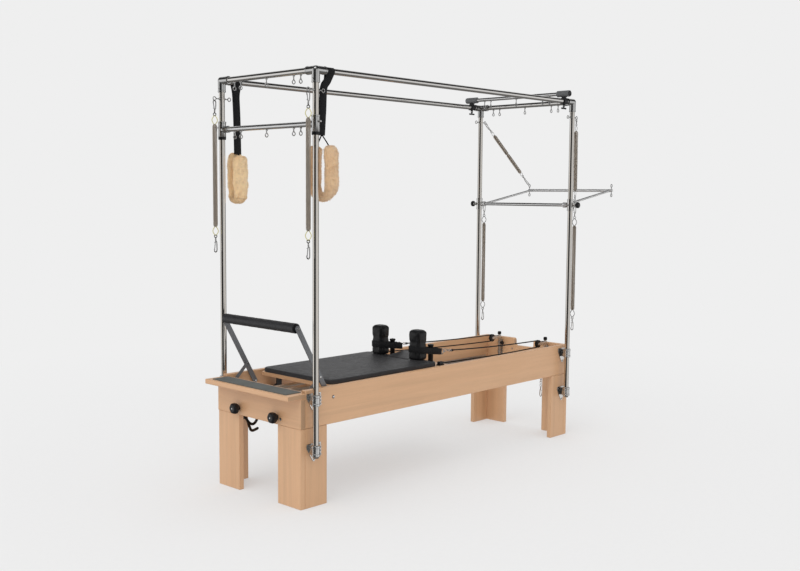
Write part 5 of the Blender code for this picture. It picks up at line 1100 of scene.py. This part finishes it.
for number, y in enumerate(SPRING_YS):
    shape = Shape()
    shape.coil(at(0.1475, y, 0.545), at(0.752, y, 0.545), 0.0112, 0.00135, 0.0031, 12, 6, 0.018)
    shape.sweep(smooth([at(0.1345, y, 0.5495), at(0.1375, y, 0.5515), at(0.1420, y, 0.5480),
                        at(0.1500, y, 0.545)], 5), 0.0019, 10)
    shape.sweep(smooth([at(0.748, y, 0.545), at(0.756, y, 0.545), at(0.7605, y, 0.545)], 4), 0.0022, 10)
    spring = piece(f"carriage_spring_{number + 1}", shape, SPRING, None, "carriage_springs", "spring_steel",
                   angle=80)
    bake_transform(spring)
shape = Shape().box(at(0.760, -0.170, 0.533), at(0.7735, 0.170, 0.5935))
for y in SPRING_YS:
    shape.hexagon(at(0.7735, y, 0.545), ALONG, 0.012, 0.005)
piece("spring_hanger", shape, BLACK_STEEL, "carriage", "carriage_springs", "black_steel", 0.0012)


# Tower: poles, corner fittings, wall clamps, top tubes

CLAMP_ZS = (0.311, 0.575)


def pole(end, side, s):
    station, inward = (FOOT, 1) if end == "foot" else (HEAD, -1)
    node = f"upright_{end}_{side}"
    y, wall = s * POLE_Y, s * 0.3503
    shape = Shape().rod(at(station, y, 0.2722), at(station, y, TOP - 0.010), TUBE, 48, 0.0012)
    piece(f"pole_tube_{end}_{side}", shape, CHROME_Z, "frame", node, "chrome_tube")
    shape = Shape().turned(at(station, y, 0.2720), UP, [(0, 0.0110), (0.0001, 0.0138), (0.0003, 0.0139)], 32)
    piece(f"pole_plug_{end}_{side}", shape, PLASTIC, "frame")

    corner, r, length = at(station, y, TOP), 0.0215, 0.064
    shape = Shape()
    for direction in (ALONG * inward, ACROSS * -s, -UP):
        shape.turned(corner, direction, [(0, r * 0.98), (length - 0.0085, r * 0.965),
                                         (length - 0.008, r + 0.0004), (length - 0.001, r + 0.0004),
                                         (length, r - 0.0008), (length, TUBE + 0.0006),
                                         (length - 0.003, TUBE + 0.0003)], 44)
    shape.turned(corner - UP * 0.003, UP, [(0, r * 0.98), (0.006, r * 0.985), (0.012, r * 0.93),
                                           (0.0165, r * 0.80), (0.0200, r * 0.58), (0.0224, r * 0.30),
                                           (0.0232, r * 0.06)], 44)
    for direction in (ALONG * inward, ACROSS * -s):
        shape.turned(corner + direction * 0.004, -direction, [
            (0, r * 0.97), (0.012, r * 0.93), (0.018, r * 0.78), (0.0218, r * 0.52), (0.0242, r * 0.2)], 44)
    piece(f"corner_fitting_{end}_{side}", shape, FITTING, "frame", node, "chrome_tube", angle=40)
    shape = Shape()
    for spot, face in ((corner - UP * 0.045, ALONG * -inward), (corner + ALONG * (inward * 0.045), -UP),
                       (corner + ACROSS * (-s * 0.045), -UP)):
        shape.rod(spot + face * (r - 0.002), spot + face * (r + 0.0005), 0.0044, 18)
        shape.rod(spot + face * (r + 0.0004), spot + face * (r + 0.0007), 0.0023, 6)
    for out in (ALONG, -ALONG):
        eye_bolt(shape, at(station, y, EYE_Z), out, 0.050, TUBE)
    piece(f"pole_eyes_{end}_{side}", shape, NICKEL, "frame", node, "chrome_tube")

    shape = Shape()
    plate = station + (0.020 if end == "foot" else 0.0)
    for z in CLAMP_ZS:
        head, tip, middle = z + 0.031, z - 0.057, plate + SHIFT
        outline = arc((middle - 0.045, head - 0.005), 0.005, 90, 180, 4) + [(middle - 0.050, head - 0.024)]
        outline += arc((middle, tip), 0.009, 205, 335, 8) + [(middle + 0.050, head - 0.024)]
        outline += arc((middle + 0.045, head - 0.005), 0.005, 0, 90, 4)
        shape.prism(outline, "Y", wall, wall + s * 0.003)
    piece(f"clamp_plates_{end}_{side}", shape, CHROME, "frame", node, "chrome_tube", 0.0006)
    shape = Shape()
    for z in CLAMP_ZS:
        shape.turned(at(station, y, z - 0.029), UP, mirrored(
            [(0, 0.0196), (0.0004, 0.0224), (0.0014, 0.0234), (0.0130, 0.0234), (0.0142, 0.0222)], 0.058), 48)
        shape.box(at(station - 0.0145, wall + s * 0.002, z - 0.0245),
                  at(station + 0.0145, y - s * 0.014, z + 0.0245))
        for a, b in ((-0.009, -0.0012), (0.0012, 0.009)):
            shape.box(at(station + inward * 0.015 - 0.0035, y + a, z - 0.027),
                      at(station + inward * 0.0285 + 0.001, y + b, z + 0.027))
    piece(f"wall_clamps_{end}_{side}", shape, CAST, "frame", node, "chrome_tube", 0.0009)
    shape = Shape()
    for z in CLAMP_ZS:
        for k in (-0.0175, 0.0, 0.0175):
            bolt = at(station + inward * 0.0255, y, z + k)
            shape.hexagon(bolt + ACROSS * (s * 0.0090), ACROSS * s, 0.0072, 0.0040)
            shape.rod(bolt - ACROSS * (s * 0.0095), bolt + ACROSS * (s * 0.0095), 0.0022, 12)
        for x in (-0.040, 0.040):
            shape.screw(at(plate + x, wall + s * 0.0028, z + 0.021), ACROSS * s, 0.0052)
        shape.screw(at(plate, wall + s * 0.0028, z - 0.055), ACROSS * s, 0.0050)
    piece(f"clamp_bolts_{end}_{side}", shape, NICKEL, "frame", node, "chrome_tube")


for end in ("foot", "head"):
    for side, s in SIDES:
        pole(end, side, s)

for end, station in (("foot", FOOT), ("head", HEAD)):
    reach = POLE_Y - 0.0225
    shape = Shape().rod(at(station, -reach, TOP), at(station, reach, TOP), TUBE, 48, 0.001)
    piece(f"top_tube_{end}", shape, CHROME_Y, "frame", f"{end}_cross_tube", "chrome_tube")
    shape = Shape()
    row_of_eyes(shape, station, TOP, 0.050, TUBE)
    piece(f"top_tube_eyes_{end}", shape, NICKEL, "frame", f"{end}_cross_tube", "chrome_tube")
for side, s in SIDES:
    shape = Shape().rod(at(FOOT + 0.0225, s * POLE_Y, TOP), at(HEAD - 0.0225, s * POLE_Y, TOP), TUBE, 48,
                        0.001)
    piece(f"top_tube_{side}", shape, CHROME_X, "frame", f"long_tube_{side}", "chrome_tube")

# Sliding cross bar on the foot poles

z = LOW_BAR_Z
shape = Shape().rod(at(FOOT, -POLE_Y + 0.018, z), at(FOOT, POLE_Y - 0.018, z), 0.0145, 44, 0.001)
own_piece("low_bar_tube", shape, STEEL, "low_cross_bar", "brushed_steel")
shape = Shape()
for s in (-1, 1):
    foot = at(FOOT, s * POLE_Y, z)
    inner = TUBE + 0.0006
    shape.turned(foot - UP * 0.040, UP, [(0.001, inner + 0.0004), (0, inner + 0.001), (0, 0.0206),
                                         (0.001, 0.0214), (0.074, 0.0214), (0.075, 0.0228), (0.083, 0.0228),
                                         (0.084, 0.0216), (0.084, inner + 0.001), (0.083, inner + 0.0004)],
                 44, bored=True)
    shape.turned(foot - ACROSS * (s * 0.004), ACROSS * -s, [
        (0, 0.0184), (0.0460, 0.0180), (0.0465, 0.0192), (0.0545, 0.0192), (0.0555, 0.0180),
        (0.0555, 0.0150)], 40)
own_piece("low_bar_sleeves", shape, FITTING, "low_cross_bar", "brushed_steel", angle=40)
shape = Shape()
for s in (-1, 1):
    foot = at(FOOT, s * POLE_Y, z)
    shape.turned(foot - UP * 0.056, UP, [(0.001, TUBE + 0.0010), (0, TUBE + 0.0016), (0, 0.0196),
                                         (0.001, 0.0210), (0.015, 0.0218), (0.0164, 0.0208),
                                         (0.0164, TUBE + 0.0016), (0.0154, TUBE + 0.0010)], 44, bored=True)
own_piece("low_bar_bushes", shape, PLASTIC, "low_cross_bar", "black_plastic")
shape = Shape()
for s in (-1, 1):
    spot = at(FOOT, s * (POLE_Y + 0.0195), z + 0.012)
    shape.hexagon(spot, ACROSS * s, 0.0125, 0.0060)
    shape.turned(spot + ACROSS * (s * 0.006), ACROSS * s, [
        (0, 0.0032), (0.0020, 0.0032), (0.0024, 0.0052), (0.0040, 0.0060), (0.0115, 0.0060), (0.0130, 0.0052),
        (0.0138, 0.0030)], 24)
row_of_eyes(shape, FOOT, z, 0.044, 0.0145)
own_piece("low_bar_pins_and_eyes", shape, NICKEL, "low_cross_bar", "brushed_steel")

# Slider bar over the long tubes

station, z = 2.240, SLIDER_Z
shape = Shape().rod(at(station, -0.345, z), at(station, 0.345, z), 0.0125, 40, 0.001)
own_piece("slider_tube", shape, STEEL, "slider_bar", "brushed_steel")
shape = Shape()
for s in (-1, 1):
    shape.turned(at(station, s * 0.340, z), ACROSS * s, [
        (0, 0.0135), (0.0002, 0.0190), (0.0016, 0.0206), (0.089, 0.0206), (0.0935, 0.0198), (0.0955, 0.0180)],
                 44)
own_piece("slider_sleeves", shape, CAP_GREY, "slider_bar", "black_plastic")
shape = Shape()
for s in (-1, 1):
    shape.turned(at(station, s * 0.4345, z), ACROSS * s, [
        (0, 0.0185), (0.0016, 0.0185), (0.0024, 0.0160), (0.0017, 0.0145), (0.0017, 0.0040)], 40)
own_piece("slider_end_plugs", shape, PLASTIC, "slider_bar", "black_plastic")
shape = Shape()
for s in (-1, 1):
    y = s * POLE_Y
    inner = TUBE + 0.0007
    middle = station + SHIFT
    saddle = arc((y, TOP), 0.0232, -60, 240, 30) + arc((y, TOP), inner, 240, -60, 30)
    shape.prism(saddle, "X", middle - 0.018, middle + 0.018)
    shape.turned(at(station, y, TOP - 0.0275), UP, [
        (0, 0.0070), (0.0012, 0.0082), (0.0090, 0.0082), (0.0095, 0.0046)], 28)
    shape.box(at(station - 0.0115, y - 0.0115, TOP + 0.0205), at(station + 0.0115, y + 0.0115, z - 0.0150))
    shape.box(at(station - 0.0140, y - 0.0140, z - 0.0225), at(station + 0.0140, y + 0.0140, z - 0.0175))
own_piece("slider_clamps", shape, BLACK_STEEL, "slider_bar", "black_steel", 0.0008)
shape = Shape()
row_of_eyes(shape, station, z, 0.050, 0.0125)
for s in (-1, 1):
    for x in (-0.0095, 0.0095):
        shape.screw(at(station + x, s * (POLE_Y + 0.0115), z - 0.0200), ACROSS * s, 0.0024)
own_piece("slider_eyes", shape, NICKEL, "slider_bar", "brushed_steel")
for side, s in SIDES:
    spot = at(station, s * POLE_Y, TOP - TUBE - 0.0009)
    shape = Shape(1).rod(spot, spot - UP * 0.027, 0.004, 20)
    shape.mark = 0
    shape.turned(spot - UP * 0.0125, -UP, [(0, 0.0062), (0.0008, 0.0080), (0.0050, 0.0082), (0.0062, 0.0066)],
                 28)
    shape.turned(spot - UP * 0.0205, -UP, [(0, 0.0050), (0.006, 0.0056), (0.010, 0.0052)], 24)
    half = [(-0.0240, 0.0026), (-0.0235, 0.0040), (-0.0215, 0.0050), (-0.016, 0.0048), (-0.008, 0.0042)]
    handle = mirrored(half, 0, [(0, 0.0050)])
    shape.turned(spot - UP * 0.030, ALONG, [(d * 1.05, r * 1.15) for d, r in handle], 24)
    own_piece(f"t_knob_{side}", shape, [PLASTIC, NICKEL], f"slider_knob_{side}", "black_plastic")

# Push-through bar and its carrier

z = PUSH_Z
shape = Shape().rod(at(HEAD, -POLE_Y + 0.018, z), at(HEAD, POLE_Y - 0.018, z), 0.011, 40, 0.001)
own_piece("carrier_tube", shape, STEEL, "ptb_carrier", "brushed_steel")
shape = Shape()
for s in (-1, 1):
    mid = at(HEAD, s * POLE_Y, z)
    inner = TUBE + 0.0007
    shape.turned(mid - UP * 0.040, UP, mirrored(
        [(0.001, inner), (0, inner + 0.0006), (0, 0.0204), (0.001, 0.0214), (0.010, 0.0214),
         (0.0108, 0.0204)], 0.080), 44, bored=True)
    shape.turned(mid + ACROSS * (s * 0.0185), ACROSS * s, [
        (0, 0.0104), (0.012, 0.0104), (0.0134, 0.0094), (0.0134, 0.0068)], 32)
    shape.turned(mid - ACROSS * (s * 0.018), ACROSS * -s, [
        (0, 0.0150), (0.012, 0.0150), (0.0136, 0.0136), (0.0136, 0.0112)], 32)
    for out in (ALONG, -ALONG):
        eye_bolt(shape, mid, out, 0.055, 0.0206)
own_piece("carrier_sleeves", shape, CHROME, "ptb_carrier", "brushed_steel", angle=40)
for side, s in SIDES:
    spot = at(HEAD, s * (POLE_Y + TUBE + 0.0009), z)
    reach = 0.044 - TUBE - 0.0009
    shape = Shape(1).rod(spot, spot + ACROSS * (s * (reach + 0.003)), 0.0059, 24)
    shape.mark = 0
    shape.turned(spot + ACROSS * (s * reach), ACROSS * s, [
        (0, 0.0100), (0.0006, 0.0110), (0.0050, 0.0112), (0.0072, 0.0150), (0.0086, 0.0188), (0.0100, 0.0197),
        (0.0120, 0.0200), (0.0190, 0.0199), (0.0222, 0.0188), (0.0246, 0.0160), (0.0256, 0.0120),
        (0.0260, 0.0060)], 44)
    own_piece(f"carrier_knob_{side}", shape, [PLASTIC, NICKEL], f"ptb_knob_{side}", "black_plastic")

pivot = at(HEAD, 0, z)
end_point = pivot + ALONG * 0.560 + UP * 0.101
lean = (end_point - pivot).normalized()
shape = Shape()
for s in (-1, 1):
    offset = ACROSS * (s * 0.347)
    arm = [pivot + offset + lean * 0.0155, pivot + offset + lean * 0.20, pivot + offset + lean * 0.45,
           end_point + offset]
    shape.sweep(smooth(arm, 8), 0.0075, 28)
    shape.turned(pivot + ACROSS * (s * 0.335), ACROSS * s, mirrored(
        [(0.0006, 0.0122), (0, 0.0128), (0, 0.0168), (0.0012, 0.0180)], 0.024), 40, bored=True)
    shape.turned(end_point + offset - lean * 0.018, lean, [
        (0, 0.0076), (0.001, 0.0092), (0.010, 0.0092), (0.0105, 0.0080)], 28)
shape.rod(end_point - ACROSS * 0.366, end_point + ACROSS * 0.366, 0.010, 36, 0.0015)
own_piece("push_through_frame", shape, STEEL_X, "ptb_bar", "brushed_steel")
shape = Shape()
for s in (-1, 1):
    for out in (UP, -UP):
        eye_bolt(shape, end_point + ACROSS * (s * 0.358), out, 0.034, 0.0095, nut=False)
    shape.screw(pivot + ACROSS * (s * 0.347) - lean * 0.0178, -lean, 0.0042)
own_piece("push_through_eyes", shape, NICKEL, "ptb_bar", "brushed_steel")


# Springs that hang on the tower


def heart_loop(shape, top, down, side, length, half, wire):
    """A cord or wire loop, pointed at the hook's end and wide in the middle."""
    route = [(0.0, 0.0), (0.20, 0.62), (0.48, 1.0), (0.78, 0.66), (1.0, 0.12), (1.0, -0.12), (0.78, -0.66),
             (0.48, -1.0), (0.20, -0.62)]
    points = [top + down * (a * length) + side * (b * half) for a, b in route]
    shape.sweep(smooth(points, 6, True), wire, 10, True)


def spring_coil(start, end):
    return Shape().coil(start, end, 0.0131, 0.00140, 0.0030, 12, 6, 0.014)


def hung_spring(name, eye, coil_top, coil_bottom, hook_bottom, loop_finish):
    wide = (ALONG * 0.72 - ACROSS * 0.69).normalized()
    hooks, loops = Shape(), Shape()
    snap = eye.z - coil_top - 0.0535
    low = coil_bottom - 0.0445
    snap_hook(hooks, eye - UP * (0.0075 + snap), UP, wide, snap, 0.0032)
    snap_hook(hooks, Vector((eye.x, eye.y, low)), -UP, wide, low - hook_bottom, 0.0032)
    for tip, way in ((coil_top + 0.047, -UP), (coil_bottom - 0.047, UP)):
        heart_loop(loops, Vector((eye.x, eye.y, tip)), way, wide, 0.050, 0.0150, 0.0023)
    coil = spring_coil((eye.x, eye.y, coil_bottom), (eye.x, eye.y, coil_top))
    own_piece(f"{name}_coil", coil, SPRING, name, "spring_steel", angle=80)
    own_piece(f"{name}_loops", loops, loop_finish, name, "spring_steel", angle=80)
    own_piece(f"{name}_snaps", hooks, NICKEL, name, "spring_steel")


for side, s in SIDES:
    hung_spring(f"foot_spring_{side}", at(FOOT - 0.050, s * POLE_Y, EYE_Z), 2.015, 1.448, 1.305, LACE)
    hung_spring(f"head_spring_{side}", at(HEAD + 0.055, s * POLE_Y, PUSH_Z), 1.437, 0.862, 0.724, NICKEL)


def stretched(top, end):
    """Hooks of a spring stretched between two eyes, and the coil's ends."""
    coil, low_gap = 0.400, 0.030
    direction, length = (end - top).normalized(), (end - top).length
    side = ACROSS.cross(direction).normalized()
    first = (length - coil) * 0.48
    a, b = top + direction * first, top + direction * (first + coil)
    upper, lower = Shape(), Shape()
    reach = first - 0.0415
    snap_hook(upper, top + direction * (0.0075 + reach), -direction, side, reach, 0.0030)
    snap_hook(lower, b + direction * low_gap, direction, side, length - first - coil - low_gap - 0.0075,
              0.0030)
    heart_loop(upper, a - direction * 0.035, direction, side, 0.037, 0.0115, 0.0016)
    heart_loop(lower, b + direction * 0.033, -direction, side, 0.037, 0.0115, 0.0016)
    return a, b, upper, lower


def blended_spring(name, parts):
    for part, shape, finish in parts:
        obj = piece(f"{name}_{part}", shape, finish, None, name, "spring_steel", angle=80)
        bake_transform(obj)


for side, s in SIDES:
    top = at(HEAD + 0.050, s * POLE_Y, EYE_Z)
    name = f"upper_spring_{side}"
    if side == "near":
        end = at(HEAD + 0.055, s * POLE_Y, PUSH_Z)
        a, b, hooks, low = stretched(top, end)
        parts = (("coil", spring_coil(a, b), SPRING), ("snap_top", hooks, NICKEL), ("snap_low", low, NICKEL))
        blended_spring(name, parts)
    else:
        end = end_point + ACROSS * (s * 0.358) + UP * 0.034
        a, b, hooks, low = stretched(top, end)
        mid = a.lerp(b, 0.5)
        blended_spring(name, (("coil_top", spring_coil(a, mid), SPRING), ("snap_top", hooks, NICKEL)))
        blended_spring(name, (("coil_low", spring_coil(mid, b), SPRING), ("snap_low", low, NICKEL)))


# Fuzzy loops: webbing over the long tube, thin ties, and a sleeve of sheepskin bent to a U

LOOPS = {"near": dict(tube=0.157, x=0.129, shift=0.008, drift=0.024, bow=0.011, wrap=0.0245, half=0.0450,
                      thick=0.0400, spread=0.132, end=1.932, soft=0.040, tops=(1.879, 1.879), low=1.597),
         "far": dict(tube=0.1635, x=0.1635, shift=0.0, drift=-0.012, bow=0.0, wrap=0.0305, half=0.0500,
                     thick=0.0340, spread=0.050, end=1.855, soft=0.032, tops=(1.846, 1.862), low=1.580)}


def loop_line(side, s):
    """Middle line of the sheepskin in Y and Z, from one mouth round the bottom to the other."""
    k = LOOPS[side]
    middle, half = s * POLE_Y + k["drift"], k["spread"] / 2
    low = k["low"] + k["soft"] / 2 + half
    ends = []
    for sign, top in zip((-1, 1), k["tops"]):
        leg = ((0.82, top), (0.88, top - 0.016), (0.97, top - 0.060), (1.0, top - 0.110), (1.0, low + 0.045))
        ends.append([(middle + sign * half * share, z) for share, z in leg])
    path = ends[0] + arc((middle, low), half, 180, 360, 8) + ends[1][::-1]
    return smooth([Vector((0, y, z)) for y, z in path], 5)


def sheepskin(side, s):
    """Plump sleeve of pile with short curled locks standing off it."""
    k = LOOPS[side]
    line = [p + at(k["x"] + k["shift"], 0, 0) for p in loop_line(side, s)]
    n, sides = len(line), 48
    lengths = [0.0]
    for a, b in zip(line, line[1:]):
        lengths.append(lengths[-1] + (b - a).length)
    loops = []
    for i, point in enumerate(line):
        way = (line[min(i + 1, n - 1)] - line[max(i - 1, 0)]).normalized()
        out = ALONG.cross(way)
        edge = min(1.0, (min(lengths[i], lengths[-1] - lengths[i]) + 0.0008) / 0.038)
        close = 0.30 + 0.70 * math.sqrt(1 - (1 - edge) ** 2)
        bottom = math.exp(-((lengths[i] - lengths[-1] / 2) / (0.045 + k["spread"] * 0.35)) ** 2)
        puff = (1 + 0.06 * noise.noise(point * 20)) * (1 - 0.30 * bottom)
        loop = []
        for j in range(sides):
            a = 2 * math.pi * j / sides
            ca, sa = math.cos(a), math.sin(a)
            x = math.copysign(abs(ca) ** 0.92, ca) * k["half"] * close * puff
            t = math.copysign(abs(sa) ** 0.92, sa) * k["thick"] / 2 * close
            spot = point + ALONG * x + out * t
            face = (ALONG * (ca * 0.6) + out * sa).normalized()
            lump = noise.fractal(spot * 26, 1.0, 2.0, 3) * 0.0040 + noise.noise(spot * 120) * 0.0012
            loop.append(spot + face * (lump - 0.0006))
        loops.append(loop)
    lengths.append(lengths[-1])
    shape = Shape().loft(loops, lengths=lengths)
    body = own_piece(f"sheepskin_sleeve_{side}", shape, WOOL[side], f"fuzzy_loop_{side}", "sheepskin",
                     angle=150)
    dice = random.Random(11 + (s > 0))
    locks = Shape()
    for _ in range(4200):
        i, j = dice.randrange(1, n - 1), dice.randrange(sides)
        base = loops[i][j].lerp(loops[i + 1 if i + 1 < n else i][(j + 1) % sides], dice.random())
        face = loops[i][j] - line[i]
        flat = Vector((face.x * 0.45, face.y, face.z)).normalized()
        drift = Vector((dice.uniform(-0.8, 0.8), dice.uniform(-0.8, 0.8), dice.uniform(-1.1, 0.3)))
        lean = (flat + drift).normalized()
        twist = Vector((dice.uniform(-1, 1), dice.uniform(-1, 1), dice.uniform(-1, 1)))
        curl = lean.cross(twist).normalized()
        long, wide = dice.uniform(0.0034, 0.0066), dice.uniform(0.0008, 0.0015)
        points = [base - flat * 0.0006, base + flat * (long * 0.35) + curl * (long * 0.10),
                  base + flat * (long * 0.5) + lean * (long * 0.35) + curl * (long * 0.34)]
        locks.sweep(points, [wide, wide * 0.85, wide * 0.25], 4)
    own_piece(f"sheepskin_locks_{side}", locks, WOOL[side], f"fuzzy_loop_{side}", "sheepskin", angle=180)


def loop_strap(side, s):
    k = LOOPS[side]
    y, middle = s * POLE_Y, s * POLE_Y + k["drift"]
    half, r = 0.0245, TUBE + 0.0006 + 0.0012

    def leg(way):
        # from the lower end up to the tube; way -1 is the near face
        low = middle + way * 0.0013
        rows = ((k["x"], low, k["end"]), (k["x"], low, k["end"] + 0.020),
                (k["x"], y + k["drift"] * 0.55 + k["bow"] * 0.45 + way * 0.0013, 2.060),
                (k["x"], y + k["bow"] + way * 0.0014, TOP - 0.086),
                (k["x"] * 0.35 + k["tube"] * 0.65, y + k["bow"] * 0.35 + way * 0.0020, TOP - 0.050),
                (k["tube"], y + way * 0.0100, TOP - 0.0170))
        return [at(*row) for row in rows]

    widths = [half * (0.80 if side == "near" else 1.0), half * 0.9 if side == "near" else half, half, half,
              half * 0.35 + k["wrap"] * 0.65, k["wrap"]]
    over = [at(k["tube"], y + r * math.sin(t), TOP - r * math.cos(t))
            for t in [math.radians(-52 - 256 * i / 14) for i in range(15)]]
    near, far = smooth(leg(-1), 4), smooth(leg(1), 4)

    def spread(values, steps=4):
        out = []
        for a, b in zip(values, values[1:]):
            out += [a + (b - a) * i / steps for i in range(steps)]
        return out + [values[-1]]

    points = near + over + far[::-1]
    halves = spread(widths) + [k["wrap"]] * len(over) + spread(widths)[::-1]
    shape = Shape().band(points, halves, 0.0023, ALONG)
    for lean, top in zip((-1, 1), k["tops"]):
        tip = at(k["x"] + k["shift"], middle + lean * k["spread"] * 0.40, top - 0.010)
        start = at(k["x"], middle + lean * 0.001, k["end"] + 0.003)
        shape.band(smooth([start, start.lerp(tip, 0.5) + UP * 0.002, tip], 4), 0.0048, 0.0018, ALONG)
    own_piece(f"loop_strap_{side}", shape, WEBBING, f"fuzzy_loop_{side}", "black_webbing", angle=50)
    shape = Shape()
    front = at(k["x"], y + k["bow"] - 0.0030, TOP - 0.100)
    if side == "far":
        shape.band([at(k["x"], y - 0.0045, 2.086), at(k["x"], y - 0.0056, 2.022)], 0.0014, 0.0006, ALONG)
        shape.screw(at(k["x"], y - 0.0036, 2.088), -ACROSS, 0.0034, 0.0014)
    for drop in (0.0, 0.012):
        shape.band([front + ALONG * a - UP * drop for a in (-half + 0.004, half - 0.004)], 0.0004, 0.0006, UP)
    piece(f"loop_strap_seam_{side}", shape, painted(f"seam_thread_{side}", (0.09, 0.09, 0.09), 0.7),
          f"fuzzy_loop_{side}")


for side, s in SIDES:
    loop_strap(side, s)
    sheepskin(side, s)


# Studio: pale floor that fades into the backdrop, even light, and panels that only mirror rays see

BACKDROP = 0.863
HEADING, PITCH, ROLL = math.radians(43.50), math.radians(-5.15), 0.0079
LOOK = Vector((math.cos(HEADING) * math.cos(PITCH), math.sin(HEADING) * math.cos(PITCH), math.sin(PITCH)))
RIGHT = Vector((math.sin(HEADING), -math.cos(HEADING), 0))

floor = Shape().add([(-60, -60, 0), (60, -60, 0), (60, 60, 0), (-60, 60, 0)], [(0, 1, 2, 3)])
look = Look("studio_floor", (0.86, 0.86, 0.86), 0.9, Specular_IOR_Level=0.1)
place = look.node("NewGeometry").outputs["Position"]
away = look.node("VectorMath", {"operation": "LENGTH"}, Vector=place).outputs["Value"]
grit = look.noise(look.coords(35), 1.0, 3.0)
look.paint(look.ramp(grit, [(0.3, (0.855, 0.855, 0.857)), (0.7, (0.870, 0.870, 0.872))]))
look.bump(look.noise(look.coords(400), 1.0, 2.0), 0.0002, 0.3)
glow = look.node("Emission", Color=grey(BACKDROP), Strength=1.0)
lit = look.mix(look.spread(away, 2.4, 5.0, 0.45, 1.0), look.shader, glow)
through = look.mix(look.node("LightPath").outputs["Is Glossy Ray"], lit, look.node("BsdfTransparent"))
look.put(through.outputs[0], look.tree.nodes["Material Output"].inputs["Surface"])
ground = piece("studio_floor", floor, look.mat, None)
ground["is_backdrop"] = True


class Sky(Look):
    def __init__(self):
        self.mat = bpy.data.worlds.new("studio")
        self.mat.use_nodes = True
        self.tree = self.mat.node_tree


sky = Sky()
bpy.context.scene.world = sky.mat
way = sky.node("TexCoord").outputs["Generated"]


def share_along(direction):
    made = sky.node("VectorMath", {"operation": "DOT_PRODUCT"}, Vector=way)
    made.inputs[1].default_value = direction
    return made.outputs["Value"]


back = -Vector((LOOK.x, LOOK.y, 0)).normalized()
turn = sky.math("ARCTAN2", share_along(RIGHT), share_along(back))
share = sky.spread(turn, -math.pi, math.pi)


def panel_ring(stops):
    """Greys by bearing in degrees, from the direction behind the camera."""
    return sky.ramp(share, [((bearing + 180) / 360, grey(v)) for bearing, v in stops])


panels = panel_ring(((-180, 0.60), (-158, 0.20), (-128, 0.05), (-118, 0.95), (-72, 0.95), (-64, 0.04),
                     (-4, 0.015), (6, 0.05), (16, 0.80), (56, 0.62), (76, 0.85), (112, 0.85), (121, 0.06),
                     (160, 0.05), (180, 0.60)))
ceiling = panel_ring(((-180, 0.80), (-150, 0.70), (-138, 0.04), (0, 0.03), (138, 0.04), (150, 0.70),
                      (180, 0.80)))
height = share_along(UP)
wall = sky.blend(sky.spread(height, 0.22, 0.32), panels, ceiling)
wall = sky.blend(sky.spread(height, 0.55, 0.75), wall, (0.035, 0.035, 0.037))
seen = sky.blend(sky.spread(height, -0.30, -0.46), wall, (0.17, 0.165, 0.16))
path = sky.node("LightPath")
even, glossy = sky.node("Background", Color=grey(0.80)), sky.node("Background", Color=seen)
plain = sky.node("Background", Color=grey(BACKDROP))
lit = sky.mix(path.outputs["Is Camera Ray"], sky.mix(path.outputs["Is Glossy Ray"], even, glossy), plain)
sky.put(lit.outputs[0], sky.tree.nodes["World Output"].inputs["Surface"])

lamp = bpy.data.lights.new("key_light", "SUN")
lamp.energy = math.pi * 0.24
lamp.angle = math.radians(50)
lamp_object = bpy.data.objects.new("key_light", lamp)
bpy.context.scene.collection.objects.link(lamp_object)
lamp_object.rotation_euler = (-Vector((-0.75, -0.25, 1.0))).to_track_quat("-Z", "Y").to_euler()

# Camera at the photograph's angle

camera_data = bpy.data.cameras.new("camera")
camera_data.sensor_width = 36
camera_data.lens = 45.26
camera_data.clip_end = 200
camera = bpy.data.objects.new("camera", camera_data)
bpy.context.scene.collection.objects.link(camera)
up = RIGHT.cross(LOOK)
tilted = RIGHT * math.cos(ROLL) + up * math.sin(ROLL)
camera.matrix_world = Matrix.Translation((-4.7530, -4.2177, 1.6342)) @ Matrix(
    (tilted, tilted.cross(LOOK), -LOOK)).transposed().to_4x4()
bpy.context.scene.camera = camera
bpy.context.scene.view_settings.view_transform = "Standard"

low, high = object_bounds()
